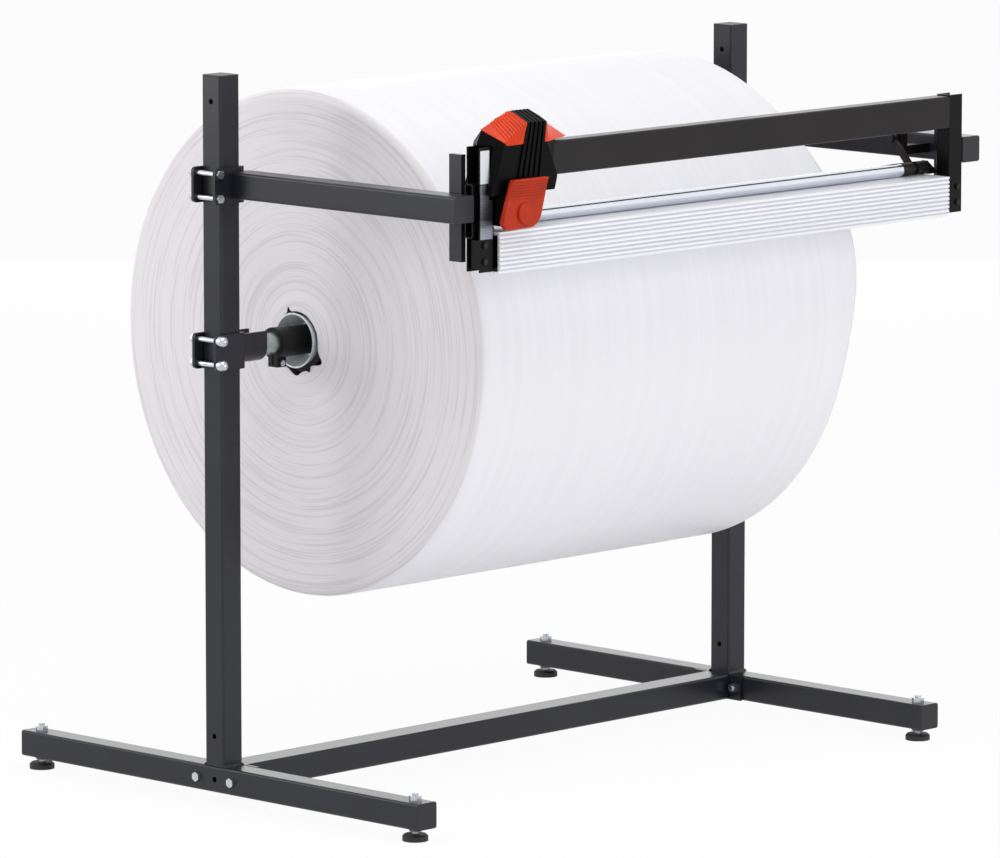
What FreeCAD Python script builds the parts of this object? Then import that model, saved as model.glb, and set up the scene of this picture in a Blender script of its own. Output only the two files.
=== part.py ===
import FreeCAD, Part
import math
import os
import Sketcher

# Roll stand with a knife carriage that cuts sheets from a large roll.
# X runs along the roll, the operator stands on the -Y side and Z is up from the floor.
# All places across the stand are counted from the plane of the two uprights.

doc = FreeCAD.newDocument("RollCutter")
sheet = doc.addObject("Spreadsheet::Sheet", "Sizes")


class Size:
    """A length that keeps its number and the sheet expression that gives it."""

    def __init__(self, text, value):
        self.text = text
        self.value = value

    def __add__(self, other):
        other = as_size(other)
        return Size("(" + self.text + " + " + other.text + ")", self.value + other.value)

    def __radd__(self, other):
        return as_size(other) + self

    def __sub__(self, other):
        other = as_size(other)
        return Size("(" + self.text + " - " + other.text + ")", self.value - other.value)

    def __rsub__(self, other):
        return as_size(other) - self

    def __mul__(self, other):
        other = as_size(other)
        return Size("(" + self.text + " * " + other.text + ")", self.value * other.value)

    __rmul__ = __mul__

    def __truediv__(self, other):
        other = as_size(other)
        return Size("(" + self.text + " / " + other.text + ")", self.value / other.value)

    def __neg__(self):
        return self * -1


def as_size(value):
    """A plain number as a size, so that sums can start from zero."""
    if isinstance(value, Size):
        return value
    return Size(repr(float(value)), float(value))


def root(size):
    """The square root of a product of two sizes."""
    return Size("sqrt(" + size.text + ")", math.sqrt(size.value))


# Driving sizes in millimetres: alias, value, what it is.
DRIVING = [
    ("tube", 40.0, "side of the square frame tube"),
    ("tube_wall", 2.5, "its wall"),
    ("tube_corner", 4.0, "its rolled corner"),
    ("weld", 3.5, "leg of a weld bead"),
    ("post_x", 35.0, "upright's middle past the axle's end"),
    ("post_top", 1098.5, "top of the upright's tube"),
    ("post_cap", 3.0, "cap above the upright"),
    ("post_hole_r", 4.25, "hole in the upright"),
    ("post_hole_low", 46.0, "lower hole above the foot"),
    ("post_hole_drop", 36.5, "upper hole below the tube's top"),
    ("foot_reach", 430.0, "foot's end from the uprights, cap included"),
    ("foot_under", 19.0, "underside of the foot above the floor"),
    ("cap_face", 2.0, "face of a foot's end cap"),
    ("cap_plug", 14.0, "plug of a cap inside its tube"),
    ("cap_wall", 2.0, "wall of a cap's plug"),
    ("cap_edge", 1.2, "rounding of a cap's face"),
    ("cap_ease", 0.1, "cap's plug to the tube's inside"),
    ("cross_depth", 50.0, "cross beam across the stand"),
    ("flange_width", 100.0, "cross beam's end flange"),
    ("flange_thick", 5.0, "its thickness"),
    ("flange_bolt_y", 37.0, "flange bolt from the middle"),
    ("flange_bolt_r", 4.0, "flange bolt's radius"),
    ("bolt_ease", 0.3, "radial room of a bolt in its hole"),
    ("bolt_head", 13.0, "across flats of a frame bolt's head"),
    ("bolt_head_high", 5.3, "height of that head"),
    ("nut_high", 6.5, "height of a frame nut"),
    ("bolt_past", 3.0, "thread past its nut"),
    ("pad_r", 19.25, "levelling pad's radius"),
    ("pad_high", 10.0, "its height"),
    ("pad_edge", 3.0, "chamfer of the pad's top"),
    ("stud_r", 5.0, "levelling stud's radius"),
    ("stud_y", 405.0, "levelling stud from the uprights"),
    ("stud_ease", 0.1, "radial room of the stud in its nuts"),
    ("stud_past", 4.0, "stud above its top nut"),
    ("lock_nut", 17.0, "across flats of the levelling nuts"),
    ("lock_nut_high", 5.0, "nut under the foot"),
    ("top_nut_high", 8.0, "nut on top of the foot"),
    ("strap_thick", 5.0, "clamp strap's plate"),
    ("strap_ease", 0.5, "strap to upright"),
    ("strap_high", 54.0, "strap's height"),
    ("strap_reach", 37.0, "strap's free ends from the upright's middle"),
    ("strap_corner", 7.0, "rounding of the strap's free corners"),
    ("strap_bend", 5.0, "outside radius of the strap's bends"),
    ("clamp_bolt_out", 28.5, "clamp bolt from the upright's middle"),
    ("clamp_bolt_rise", 18.0, "clamp bolt above or below the strap's middle"),
    ("clamp_bolt_r", 4.0, "clamp bolt's radius"),
    ("small_head", 12.0, "across flats of the arm clamps' bolts"),
    ("small_head_high", 5.0, "height of those heads"),
    ("dome_r", 8.5, "radius of the cradle clamps' dome heads"),
    ("dome_high", 14.0, "height of those heads"),
    ("arm_z", 937.5, "arm's middle above the floor"),
    ("arm_shift", 17.0, "arm's middle from its upright's middle"),
    ("arm_reach", 490.6, "arm's end from the uprights, cap included"),
    ("axle_z", 688.0, "axle above the floor"),
    ("axle_r", 16.85, "axle tube's radius"),
    ("axle_wall", 3.2, "its wall"),
    ("axle_half", 525.0, "half the axle's length"),
    ("seat_ease", 0.15, "axle to its seat in the cradle"),
    ("cradle_wall", 5.0, "wall of the cradle's trough"),
    ("cradle_high", 24.0, "trough's rim above the axle's middle"),
    ("cradle_long", 47.5, "trough's length from the strap"),
    ("roll_r", 383.5, "radius of the wound roll"),
    ("roll_near", -129.0, "near end of the roll from the axle's end"),
    ("roll_far", -79.0, "far end of the roll from the axle's other end"),
    ("core_r", 48.0, "cardboard core's outer radius"),
    ("core_bore_r", 38.0, "its bore"),
    ("cone_ease", 0.1, "core's end behind the place where the cone fills its bore"),
    ("cone_rim_r", 42.0, "cone's rim"),
    ("cone_tip_r", 30.0, "cone's small end"),
    ("cone_out", 14.0, "cone's rim before the roll's end"),
    ("cone_long", 40.0, "cone's length"),
    ("cone_wall", 2.5, "cone's wall"),
    ("hub_r", 22.5, "bearing hub's radius"),
    ("hub_ease", 0.08, "running room of the hub on the axle"),
    ("hub_out", 26.0, "near hub before the cone's rim"),
    ("far_hub_out", 2.0, "far hub before the cone's rim"),
    ("hub_gap", 0.3, "hub to its collar"),
    ("collar_r", 24.0, "split collar's radius"),
    ("collar_wide", 18.0, "its width"),
    ("collar_slit", 2.0, "its slit"),
    ("ear_wide", 20.0, "clamping ear across the axle"),
    ("ear_drop", 12.0, "ear below the collar"),
    ("collar_screw_r", 2.5, "collar screw's radius"),
    ("collar_head_r", 4.5, "its head"),
    ("collar_head_high", 3.0, "height of its head"),
    ("cutter_mid", 15.65, "cutter's middle from the stand's middle"),
    ("cutter_half", -56.65, "cheek's inner face, counted from the uprights and cutter_mid"),
    ("cheek_sheet", 2.5, "cheek's sheet"),
    ("cheek_bend", 2.4, "outside radius of the cheek's bends"),
    ("cheek_wide", 29.0, "cheek's flanges, from web to mouth"),
    ("cheek_front", 5.4, "cheek's front face past the arm's end"),
    ("cheek_deep", 27.3, "cheek from front to back"),
    ("cheek_low", -94.0, "cheek's lower end from the arm's middle"),
    ("cheek_top", 88.5, "cheek's upper end from the arm's middle"),
    ("block_low", -44.5, "mounting tube's lower end from the arm's middle"),
    ("block_top", 35.5, "its upper end from the arm's middle"),
    ("block_deep", 16.5, "its depth"),
    ("block_wall", 2.5, "its wall"),
    ("plate_thick", 9.0, "arm's vertical plate"),
    ("plate_wide", 24.5, "its width"),
    ("plate_back", -51.1, "its back edge from the arm's end"),
    ("plate_low", -80.5, "its lower end from the arm's middle"),
    ("plate_top", 76.5, "its upper end from the arm's middle"),
    ("beam_deep", 30.0, "guide beam from front to back"),
    ("beam_high", 50.0, "its height"),
    ("beam_wall", 2.0, "its wall"),
    ("beam_low", 36.5, "its underside above the arm's middle"),
    ("rail_front", 14.4, "ribbed rail's front face past the arm's end"),
    ("rail_deep", 33.0, "its hollow box from front to back"),
    ("rail_low", -97.5, "its underside from the arm's middle"),
    ("rail_top", -36.5, "its top surface from the arm's middle"),
    ("rail_wall", 2.5, "its wall"),
    ("rail_deck", 5.0, "its top plate"),
    ("rail_deck_deep", 65.0, "top plate from front to back"),
    ("rail_rib", 1.8, "rib's height"),
    ("rail_pitch", 6.4, "rib's pitch"),
    ("rail_rib_wide", 4.0, "rib's width"),
    ("knife_line", -1.6, "knife slot from the arm's end"),
    ("knife_slot", 3.0, "knife slot's width"),
    ("rail_near_gap", 2.7, "rail's end to the near cheek"),
    ("rail_far_gap", 9.4, "rail's end to the far cheek"),
    ("spigot_up", 8.0, "spigot above the rail's underside"),
    ("spigot_high", 42.0, "spigot's height"),
    ("spigot_out", 25.5, "spigot's end from the cheek's inner face"),
    ("spigot_in", 55.0, "spigot inside the rail"),
    ("window_ease", 0.5, "room round the spigot in the cheek's window"),
    ("rail_screw_in", 19.4, "rail screw from the cheek's inner face"),
    ("rail_screw_up", 11.0, "lower rail screw above the spigot's underside"),
    ("rail_screw_apart", 24.0, "upper rail screw above the lower one"),
    ("rail_screw_long", 10.0, "rail screw's length"),
    ("rail_screw_r", 2.5, "rail screw's radius"),
    ("rail_head_r", 4.5, "its head"),
    ("rail_head_high", 2.8, "height of its head"),
    ("bar_r", 10.5, "hold-down bar's radius"),
    ("bar_wall", 1.5, "its wall"),
    ("bar_y", -38.6, "bar from the arm's end"),
    ("bar_gap", 0.2, "bar above the rail's top"),
    ("bar_in", 67.0, "bar's end from the cheek's inner face"),
    ("fitting_long", 60.0, "end fitting's length"),
    ("fitting_plug", 20.0, "its plug inside the bar"),
    ("fitting_neck_r", 6.0, "its neck in the lever"),
    ("tip_long", 21.0, "end fitting's pointed tip"),
    ("tip_wide", 12.0, "tip's width"),
    ("tip_low", 4.0, "height of the tip's end"),
    ("pivot_y", -78.6, "lever's pivot from the arm's end"),
    ("pivot_z", 18.5, "lever's pivot above the arm's middle"),
    ("pin_r", 4.0, "pivot pin's radius"),
    ("pin_ease", 0.08, "running room of the pin"),
    ("pin_head_r", 6.5, "pin's head"),
    ("pin_head_high", 3.0, "height of the pin's head"),
    ("pin_deep", 12.0, "pin inside its bracket"),
    ("lever_thick", 8.0, "lever's thickness"),
    ("lever_wide", 16.0, "lever's round ends"),
    ("lever_slim", 9.0, "its width between them"),
    ("lever_in", 33.0, "lever's outer face from the cheek's inner face"),
    ("bracket_in", 29.0, "bracket's inner end from the cheek's inner face"),
    ("bracket_drop", 8.0, "bracket's underside below the arm's middle"),
    ("bracket_high", 14.0, "height of the bracket's foot"),
    ("bracket_ear", 14.0, "raised ear of the bracket along its pin"),
    ("bracket_rise", 10.0, "ear's top above the pivot"),
    ("bracket_back", -88.6, "bracket's back from the arm's end"),
    ("bracket_wide", 21.0, "bracket from front to back"),
    ("shell_front", 21.4, "carriage's front face past the arm's end"),
    ("shell_deep", 62.0, "carriage from front to back"),
    ("shell_x", -47.7, "carriage's middle from the near cheek's inner face"),
    ("shell_low", 18.5, "lower edge of its front above the arm's middle"),
    ("shell_half", 65.0, "half the width of its lower edge"),
    ("shell_tall", 115.0, "its height up to the ridge"),
    ("shoe", 3.0, "glide shoe's thickness"),
    ("shoe_ease", 0.3, "glide shoe to the beam"),
    ("shoe_long", 40.0, "glide shoe's length"),
    ("shoe_gap", 1.2, "glide shoe to the cheek when the carriage is parked"),
    ("band_rise", 2.4, "ribs of the band above the shell"),
    ("band_mid", 23.1, "band's middle from the carriage's middle"),
    ("band_rib", 5.6, "one rib's width"),
    ("band_pitch", 8.6, "pitch of the ribs on the roof"),
    ("band_spread", 11.0, "pitch of the ribs at their lower ends"),
    ("band_lean", 14.0, "how far the band's middle leans down the front"),
    ("band_gap", 0.3, "band to the coloured grips"),
    ("grip_rise", 1.2, "coloured grip above the shell"),
    ("grip_rib_rise", 0.9, "its ribs above it"),
    ("grip_rib", 2.4, "width of its ribs"),
    ("grip_lean_share", 0.6, "how far its ribs lean for their drop, a ratio"),
    ("head_front", 39.4, "knife head's front face past the arm's end"),
    ("head_deep", 9.0, "depth of the coloured housing"),
    ("head_low", -31.5, "its lower edge from the arm's middle"),
    ("head_high", 72.0, "its height"),
    ("head_x", -32.7, "its middle from the near cheek's inner face"),
    ("head_half", 42.0, "half its width"),
    ("head_round", 9.0, "rounding of its lower corners towards the near end"),
    ("head_round_far", 26.0, "rounding of its other lower corner"),
    ("head_lip_r", 2.0, "rounded lip along its top"),
    ("head_lip_up", 0.4, "the lip above the housing's top"),
    ("head_lip_in", 0.6, "the lip's ends from the housing's sides"),
    ("head_rib", 1.2, "height of its ribs"),
    ("head_rib_wide", 1.9, "width of its ribs"),
    ("head_pitch", 3.8, "pitch of its ribs"),
    ("head_inset", 2.5, "ribs to the housing's sides"),
    ("seam", 0.6, "parting line's width and depth"),
    ("seam_up", 30.0, "parting lines above the housing's lower edge"),
    ("seam_long", 9.5, "length of a parting line"),
    ("boss_r", 15.0, "round boss"),
    ("boss_rise", 3.0, "boss before the housing"),
    ("boss_edge", 1.2, "chamfer of its rim"),
    ("boss_x", 2.5, "boss from the housing's middle, towards the near end"),
    ("boss_up", 22.5, "boss above the housing's lower edge"),
    ("holder_inset", 4.0, "knife holder inside the housing's outline"),
    ("holder_deep", 39.0, "knife holder from front to back"),
    ("holder_ease", 1.0, "knife holder to the cheek"),
    ("holder_up", 9.0, "its underside above the rail's top"),
    ("head_gap", 0.3, "knife holder to the shell"),
    ("blade_thick", 0.6, "blade's thickness"),
    ("blade_long", 38.0, "blade's length"),
    ("blade_drop", 9.0, "blade's lower edge below the rail's top"),
    ("blade_up", 12.0, "blade inside its holder"),
    ("overrun", 5.0, "how far a cut runs past a face"),
]


class Names:
    """The driving sizes by name."""


S = Names()
for line, (alias, value, note) in enumerate(DRIVING, start=1):
    sheet.set("A" + str(line), note)
    sheet.set("B" + str(line), repr(value))
    sheet.setAlias("B" + str(line), alias)
    setattr(S, alias, Size("Sizes." + alias, value))
doc.recompute()



def count_from(start, *names):
    """Sizes that are written from another place, brought to the stand's middle."""
    for name in names:
        setattr(S, name, start + getattr(S, name))


# The cutter hangs on its arms: its heights are counted from the arms' middle, and its places
# towards the operator from the arms' end.
count_from(S.arm_z, "cheek_low", "cheek_top", "block_low", "block_top", "plate_low", "plate_top",
           "beam_low", "rail_low", "rail_top", "pivot_z", "shell_low", "head_low")
count_from(S.arm_reach, "cheek_front", "plate_back", "rail_front", "knife_line", "bar_y",
           "pivot_y", "bracket_back", "shell_front", "head_front")
# The stand is as wide as its axle asks for, and the cutter as wide as the stand.
count_from(S.axle_half, "post_x", "roll_near", "roll_far")
count_from(S.post_x, "cutter_half")
count_from(S.cutter_half - S.cutter_mid, "shell_x", "head_x")

# The whole stand moves by this much, so that the origin lies under the middle of its box.
stand_y = (S.head_front + S.boss_rise - S.foot_reach) / 2

TURN = {
    "+x": FreeCAD.Rotation(FreeCAD.Vector(0, 1, 0), 90),
    "-x": FreeCAD.Rotation(FreeCAD.Vector(0, 1, 0), -90),
    "+y": FreeCAD.Rotation(FreeCAD.Vector(1, 0, 0), -90),
    "-y": FreeCAD.Rotation(FreeCAD.Vector(1, 0, 0), 90),
    "+z": FreeCAD.Rotation(),
    "-z": FreeCAD.Rotation(FreeCAD.Vector(1, 0, 0), 180),
}
ROOT3 = math.sqrt(3)
count = {}
nodes = []


def fresh(kind):
    """A name for an inner object."""
    count[kind] = count.get(kind, 0) + 1
    return kind + "_" + str(count[kind])


def tie(obj, prop, size):
    """Bind a property to the sheet."""
    obj.setExpression(prop, as_size(size).text)


def put(obj, x, y, z, turn=None):
    """Place an object by sizes counted from the uprights' plane."""
    if turn is not None:
        obj.Placement = FreeCAD.Placement(FreeCAD.Vector(), turn)
    tie(obj, "Placement.Base.x", x)
    tie(obj, "Placement.Base.y", stand_y + y)
    tie(obj, "Placement.Base.z", z)
    return obj


def block(x, y, z):
    """A box between two sizes along each axis."""
    obj = doc.addObject("Part::Box", fresh("Block"))
    tie(obj, "Length", x[1] - x[0])
    tie(obj, "Width", y[1] - y[0])
    tie(obj, "Height", z[1] - z[0])
    return put(obj, x[0], y[0], z[0])


def rod(x, y, z, way, radius, length):
    """A cylinder that starts at a point and runs one way."""
    obj = doc.addObject("Part::Cylinder", fresh("Rod"))
    tie(obj, "Radius", radius)
    tie(obj, "Height", length)
    return put(obj, x, y, z, TURN[way])


def cone(x, y, z, way, radius1, radius2, length):
    """A cone that starts at a point and runs one way."""
    obj = doc.addObject("Part::Cone", fresh("Cone"))
    tie(obj, "Radius1", radius1)
    tie(obj, "Radius2", radius2)
    tie(obj, "Height", length)
    return put(obj, x, y, z, TURN[way])


def dome(x, y, z, way, radius):
    """Half a ball that bulges one way."""
    obj = doc.addObject("Part::Sphere", fresh("Dome"))
    tie(obj, "Radius", radius)
    obj.Angle1 = 0
    return put(obj, x, y, z, TURN[way])


def hexagon(x, y, z, way, across, length):
    """A hexagonal prism, given across its flats."""
    obj = doc.addObject("Part::Prism", fresh("Hex"))
    obj.Polygon = 6
    tie(obj, "Circumradius", across / ROOT3)
    tie(obj, "Height", length)
    return put(obj, x, y, z, TURN[way])


def fuse(*parts):
    """One solid of several."""
    obj = doc.addObject("Part::MultiFuse", fresh("Fuse"))
    obj.Shapes = list(parts)
    return obj


def cut(base, *tools):
    """A solid less its tools."""
    obj = doc.addObject("Part::Cut", fresh("Cut"))
    obj.Base = base
    obj.Tool = tools[0] if len(tools) == 1 else fuse(*tools)
    return obj


def common(one, other):
    """What two solids share."""
    obj = doc.addObject("Part::Common", fresh("Common"))
    obj.Base = one
    obj.Tool = other
    return obj


def group(*parts):
    """Separate solids in one node."""
    obj = doc.addObject("Part::Compound", fresh("Group"))
    obj.Links = list(parts)
    return obj


def node(obj, label):
    """Name a finished piece."""
    obj.Label = label
    nodes.append(obj)
    return obj


def new_body(name):
    """A part design body in the uprights' plane."""
    body = doc.addObject("PartDesign::Body", name)
    tie(body, "Placement.Base.y", stand_y)
    return body


def origin_plane(body, role):
    """One of the body's own origin planes."""
    return [f for f in body.Origin.OriginFeatures if f.Role == role][0]


def sketch_on(body, role, offset):
    """A sketch on an origin plane, moved along the plane's normal."""
    sketch = body.newObject("Sketcher::SketchObject", fresh("Sketch"))
    sketch.AttachmentSupport = [(origin_plane(body, role), "")]
    sketch.MapMode = "FlatFace"
    tie(sketch, "AttachmentOffset.Base.z", offset)
    return sketch


def outline(sketch, points):
    """A closed outline whose corners are bound to sizes."""
    first = sketch.GeometryCount
    total = len(points)
    for i in range(total):
        a = points[i]
        b = points[(i + 1) % total]
        start = FreeCAD.Vector(as_size(a[0]).value, as_size(a[1]).value, 0)
        end = FreeCAD.Vector(as_size(b[0]).value, as_size(b[1]).value, 0)
        sketch.addGeometry(Part.LineSegment(start, end), False)
    for i in range(total):
        follows = first + (i + 1) % total
        sketch.addConstraint(Sketcher.Constraint("Coincident", first + i, 2, follows, 1))
    for i in range(total):
        for kind, size in zip(("DistanceX", "DistanceY"), points[i]):
            size = as_size(size)
            place = sketch.addConstraint(
                Sketcher.Constraint(kind, -1, 1, first + i, 1, size.value))
            sketch.setExpression("Constraints[" + str(place) + "]", size.text)
    return sketch


def circle(sketch, x, y, radius):
    """A circle whose centre and radius are bound to sizes."""
    x, y = as_size(x), as_size(y)
    spot = FreeCAD.Vector(x.value, y.value, 0)
    ring = sketch.addGeometry(Part.Circle(spot, FreeCAD.Vector(0, 0, 1), radius.value), False)
    for kind, size in (("DistanceX", x), ("DistanceY", y)):
        place = sketch.addConstraint(Sketcher.Constraint(kind, -1, 1, ring, 3, size.value))
        sketch.setExpression("Constraints[" + str(place) + "]", size.text)
    place = sketch.addConstraint(Sketcher.Constraint("Radius", ring, radius.value))
    sketch.setExpression("Constraints[" + str(place) + "]", radius.text)
    return sketch


def rectangle(a, b):
    """Corners of a rectangle from its low and high sizes."""
    return [(a[0], b[0]), (a[1], b[0]), (a[1], b[1]), (a[0], b[1])]


def pad(body, sketch, length, back=False):
    """Material from a sketch along its normal, or against it."""
    feature = body.newObject("PartDesign::Pad", fresh("Pad"))
    feature.Profile = sketch
    tie(feature, "Length", length)
    feature.Reversed = back
    doc.recompute()
    return feature


def pocket(body, sketch, length, back=False):
    """A cut from a sketch against its normal, or along it."""
    before = body.Shape.Volume
    feature = body.newObject("PartDesign::Pocket", fresh("Pocket"))
    feature.Profile = sketch
    tie(feature, "Length", length)
    feature.Reversed = back
    doc.recompute()
    if body.Shape.Volume >= before:
        raise RuntimeError(feature.Name + " cuts nothing")
    return feature


def fillet(body, radius, wanted):
    """Round the edges that a test picks out."""
    base = body.Tip
    names = []
    for i, edge in enumerate(base.Shape.Edges, start=1):
        if wanted(edge):
            names.append("Edge" + str(i))
    if not names:
        raise RuntimeError("no edge to round on " + body.Name)
    feature = body.newObject("PartDesign::Fillet", fresh("Fillet"))
    feature.Base = (base, names)
    tie(feature, "Radius", radius)
    doc.recompute()
    return feature


def along(edge, axis):
    """True for a straight edge along one axis."""
    if edge.Curve.TypeId != "Part::GeomLine":
        return False
    way = edge.Curve.Direction
    return abs((way.x, way.y, way.z)[axis]) > 1 - Part.Precision.approximation()


def near(value, size):
    """True where a place agrees with a size."""
    return abs(value - size.value) < Part.Precision.approximation()


def solid_bar(x, y, z, axis, corner, wall=None):
    """A rectangular bar with round corners along one axis: 0 for X, 1 for Y, 2 for Z. A wall makes
    it a tube, whose inner corners are round too."""
    body = new_body(fresh("Bar"))
    spans = [x, y, z]
    run = spans.pop(axis)
    first, second = spans
    plane = ("YZ_Plane", "XZ_Plane", "XY_Plane")[axis]
    section = sketch_on(body, plane, -run[1] if axis == 1 else run[0])
    outline(section, rectangle(first, second))
    if wall is not None:
        outline(section, rectangle((first[0] + wall, first[1] - wall),
                                   (second[0] + wall, second[1] - wall)))
    pad(body, section, run[1] - run[0])
    across = [n for n in (0, 1, 2) if n != axis][0]
    sides = [as_size(first[0]), as_size(first[1])]

    def outer(edge):
        place = (edge.CenterOfMass.x, edge.CenterOfMass.y, edge.CenterOfMass.z)[across]
        return along(edge, axis) and any(near(place, side) for side in sides)

    def inner(edge):
        place = (edge.CenterOfMass.x, edge.CenterOfMass.y, edge.CenterOfMass.z)[across]
        return along(edge, axis) and any(
            near(place, side) for side in (sides[0] + wall, sides[1] - wall))

    fillet(body, corner, outer)
    if wall is not None:
        fillet(body, corner - wall / 2, inner)
    return body


def square_tube(x, y, z, axis, wall):
    """A welded square or rectangular tube with its rolled corners."""
    return solid_bar(x, y, z, axis, S.tube_corner, wall)


# Both feet, each a tube with holes for the levelling studs and the cross beam's bolts.
foot_top = S.foot_under + S.tube
foot_mid = S.foot_under + S.tube / 2
half = S.tube / 2
foot_end = S.foot_reach - S.cap_face
bolt_hole_r = S.flange_bolt_r + S.bolt_ease
for side, label in ((-1, "left_foot_tube"), (1, "right_foot_tube")):
    x = S.post_x * side
    tube = square_tube((x - half, x + half), (-foot_end, foot_end), (S.foot_under, foot_top), 1,
                       S.tube_wall)
    holes = []
    for end in (-1, 1):
        holes.append(rod(x, S.stud_y * end, S.foot_under - S.overrun, "+z",
                         S.stud_r + S.bolt_ease, S.tube + S.overrun * 2))
        holes.append(rod(x - half - S.overrun, S.flange_bolt_y * end, foot_mid, "+x",
                         bolt_hole_r, S.tube + S.overrun * 2))
    inward = "+x" if side < 0 else "-x"
    holes.append(rod(x + (half + S.overrun) * side, 0, foot_mid, inward, bolt_hole_r,
                     S.tube_wall + S.overrun * 2))
    node(cut(tube, *holes), label)

# Plastic caps in the four ends of the feet.
plug = half - S.tube_wall - S.cap_ease
plug_corner = S.tube_corner - S.tube_wall / 2


def end_cap(x, y, z, way, face, deep, r_half):
    """A cap's face and hollow plug; the plug runs one way from the tube's mouth along Y."""
    low, high = (y - face, y) if way > 0 else (y, y + face)
    disc = solid_bar((x - half, x + half), (low, high), (z - half, z + half), 1, S.tube_corner)
    outer = low if way > 0 else high
    fillet(disc, S.cap_edge, lambda edge: near(edge.BoundBox.YMin, outer)
           and near(edge.BoundBox.YMax, outer))
    start, stop = (y, y + deep) if way > 0 else (y - deep, y)
    stem = solid_bar((x - r_half, x + r_half), (start, stop), (z - r_half, z + r_half), 1,
                     plug_corner)
    inner = r_half - S.cap_wall
    hollow = block((x - inner, x + inner), (start, stop), (z - inner, z + inner))
    return fuse(disc, cut(stem, hollow))


caps = []
for side in (-1, 1):
    for end in (-1, 1):
        caps.append(end_cap(S.post_x * side, foot_end * end, foot_mid, -end, S.cap_face,
                            S.cap_plug, plug))
node(group(*caps), "foot_end_caps")

# Uprights, welded on the feet, each with a hole near either end and a weld bead round its base.
for side, label in ((-1, "left_upright"), (1, "right_upright")):
    x = S.post_x * side
    tube = square_tube((x - half, x + half), (-half, half), (foot_top, S.post_top), 2, S.tube_wall)
    bead = doc.addObject("Part::Wedge", fresh("Bead"))
    for low_name, high_name, low, high in (
            ("Xmin", "Xmax", -half, half), ("Zmin", "Zmax", -half, half),
            ("X2min", "X2max", -half + S.weld, half - S.weld),
            ("Z2min", "Z2max", -half + S.weld, half - S.weld)):
        tie(bead, low_name, low - S.weld)
        tie(bead, high_name, high + S.weld)
    tie(bead, "Ymin", 0)
    tie(bead, "Ymax", S.weld)
    put(bead, x, 0, foot_top, FreeCAD.Rotation(FreeCAD.Vector(1, 0, 0), 90))
    trimmed = common(bead, block((x - half, x + half),
                                 (-half - S.weld, half + S.weld),
                                 (foot_top, foot_top + S.weld)))
    ring = cut(trimmed, block((x - half, x + half), (-half, half),
                              (foot_top - S.overrun, foot_top + S.weld + S.overrun)))
    holes = []
    for z in (foot_top + S.post_hole_low, S.post_top - S.post_hole_drop):
        holes.append(rod(x - half - S.overrun, 0, z, "+x", S.post_hole_r, S.tube + S.overrun * 2))
    node(cut(fuse(tube, ring), *holes), label)

# Caps on the uprights.
caps = []
for side in (-1, 1):
    x = S.post_x * side
    inner = plug - S.cap_wall
    cap_top = S.post_top + S.post_cap
    face = solid_bar((x - half, x + half), (-half, half), (S.post_top, cap_top), 2, S.tube_corner)
    fillet(face, S.cap_edge, lambda edge: near(edge.BoundBox.ZMin, cap_top))
    run = (S.post_top - S.cap_plug, S.post_top)
    stem = cut(solid_bar((x - plug, x + plug), (-plug, plug), run, 2, plug_corner),
               block((x - inner, x + inner), (-inner, inner), run))
    caps.append(fuse(face, stem))
node(group(*caps), "upright_caps")

# Cross beam between the feet, with a flange welded on each end.
flange_x = S.post_x - half
beam_x = flange_x - S.flange_thick
deep = S.cross_depth / 2
parts = [square_tube((-beam_x, beam_x), (-deep, deep), (S.foot_under, foot_top), 0, S.tube_wall)]
for side in (-1, 1):
    low, high = (-flange_x, -beam_x) if side < 0 else (beam_x, flange_x)
    plate = block((low, high), (S.flange_width / -2, S.flange_width / 2), (S.foot_under, foot_top))
    holes = [rod(low - S.overrun, S.flange_bolt_y * end, foot_mid, "+x", bolt_hole_r,
                 S.flange_thick + S.overrun * 2) for end in (-1, 1)]
    parts.append(cut(plate, *holes))
node(fuse(*parts), "cross_beam")

# Its bolts come from the feet's outer sides and take a nut behind each flange.
bolts = []
nuts = []
for side, way, back in ((-1, "+x", "-x"), (1, "-x", "+x")):
    outer = (S.post_x + half) * side
    inner = beam_x * side
    shank = S.tube + S.flange_thick + S.nut_high + S.bolt_past
    for end in (-1, 1):
        y = S.flange_bolt_y * end
        bolts.append(fuse(hexagon(outer, y, foot_mid, back, S.bolt_head, S.bolt_head_high),
                          rod(outer, y, foot_mid, way, S.flange_bolt_r, shank)))
        nuts.append(cut(hexagon(inner, y, foot_mid, way, S.bolt_head, S.nut_high),
                        rod(inner, y, foot_mid, way, S.flange_bolt_r, S.nut_high)))
node(group(*bolts), "cross_beam_bolts")
node(group(*nuts), "cross_beam_nuts")

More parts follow.
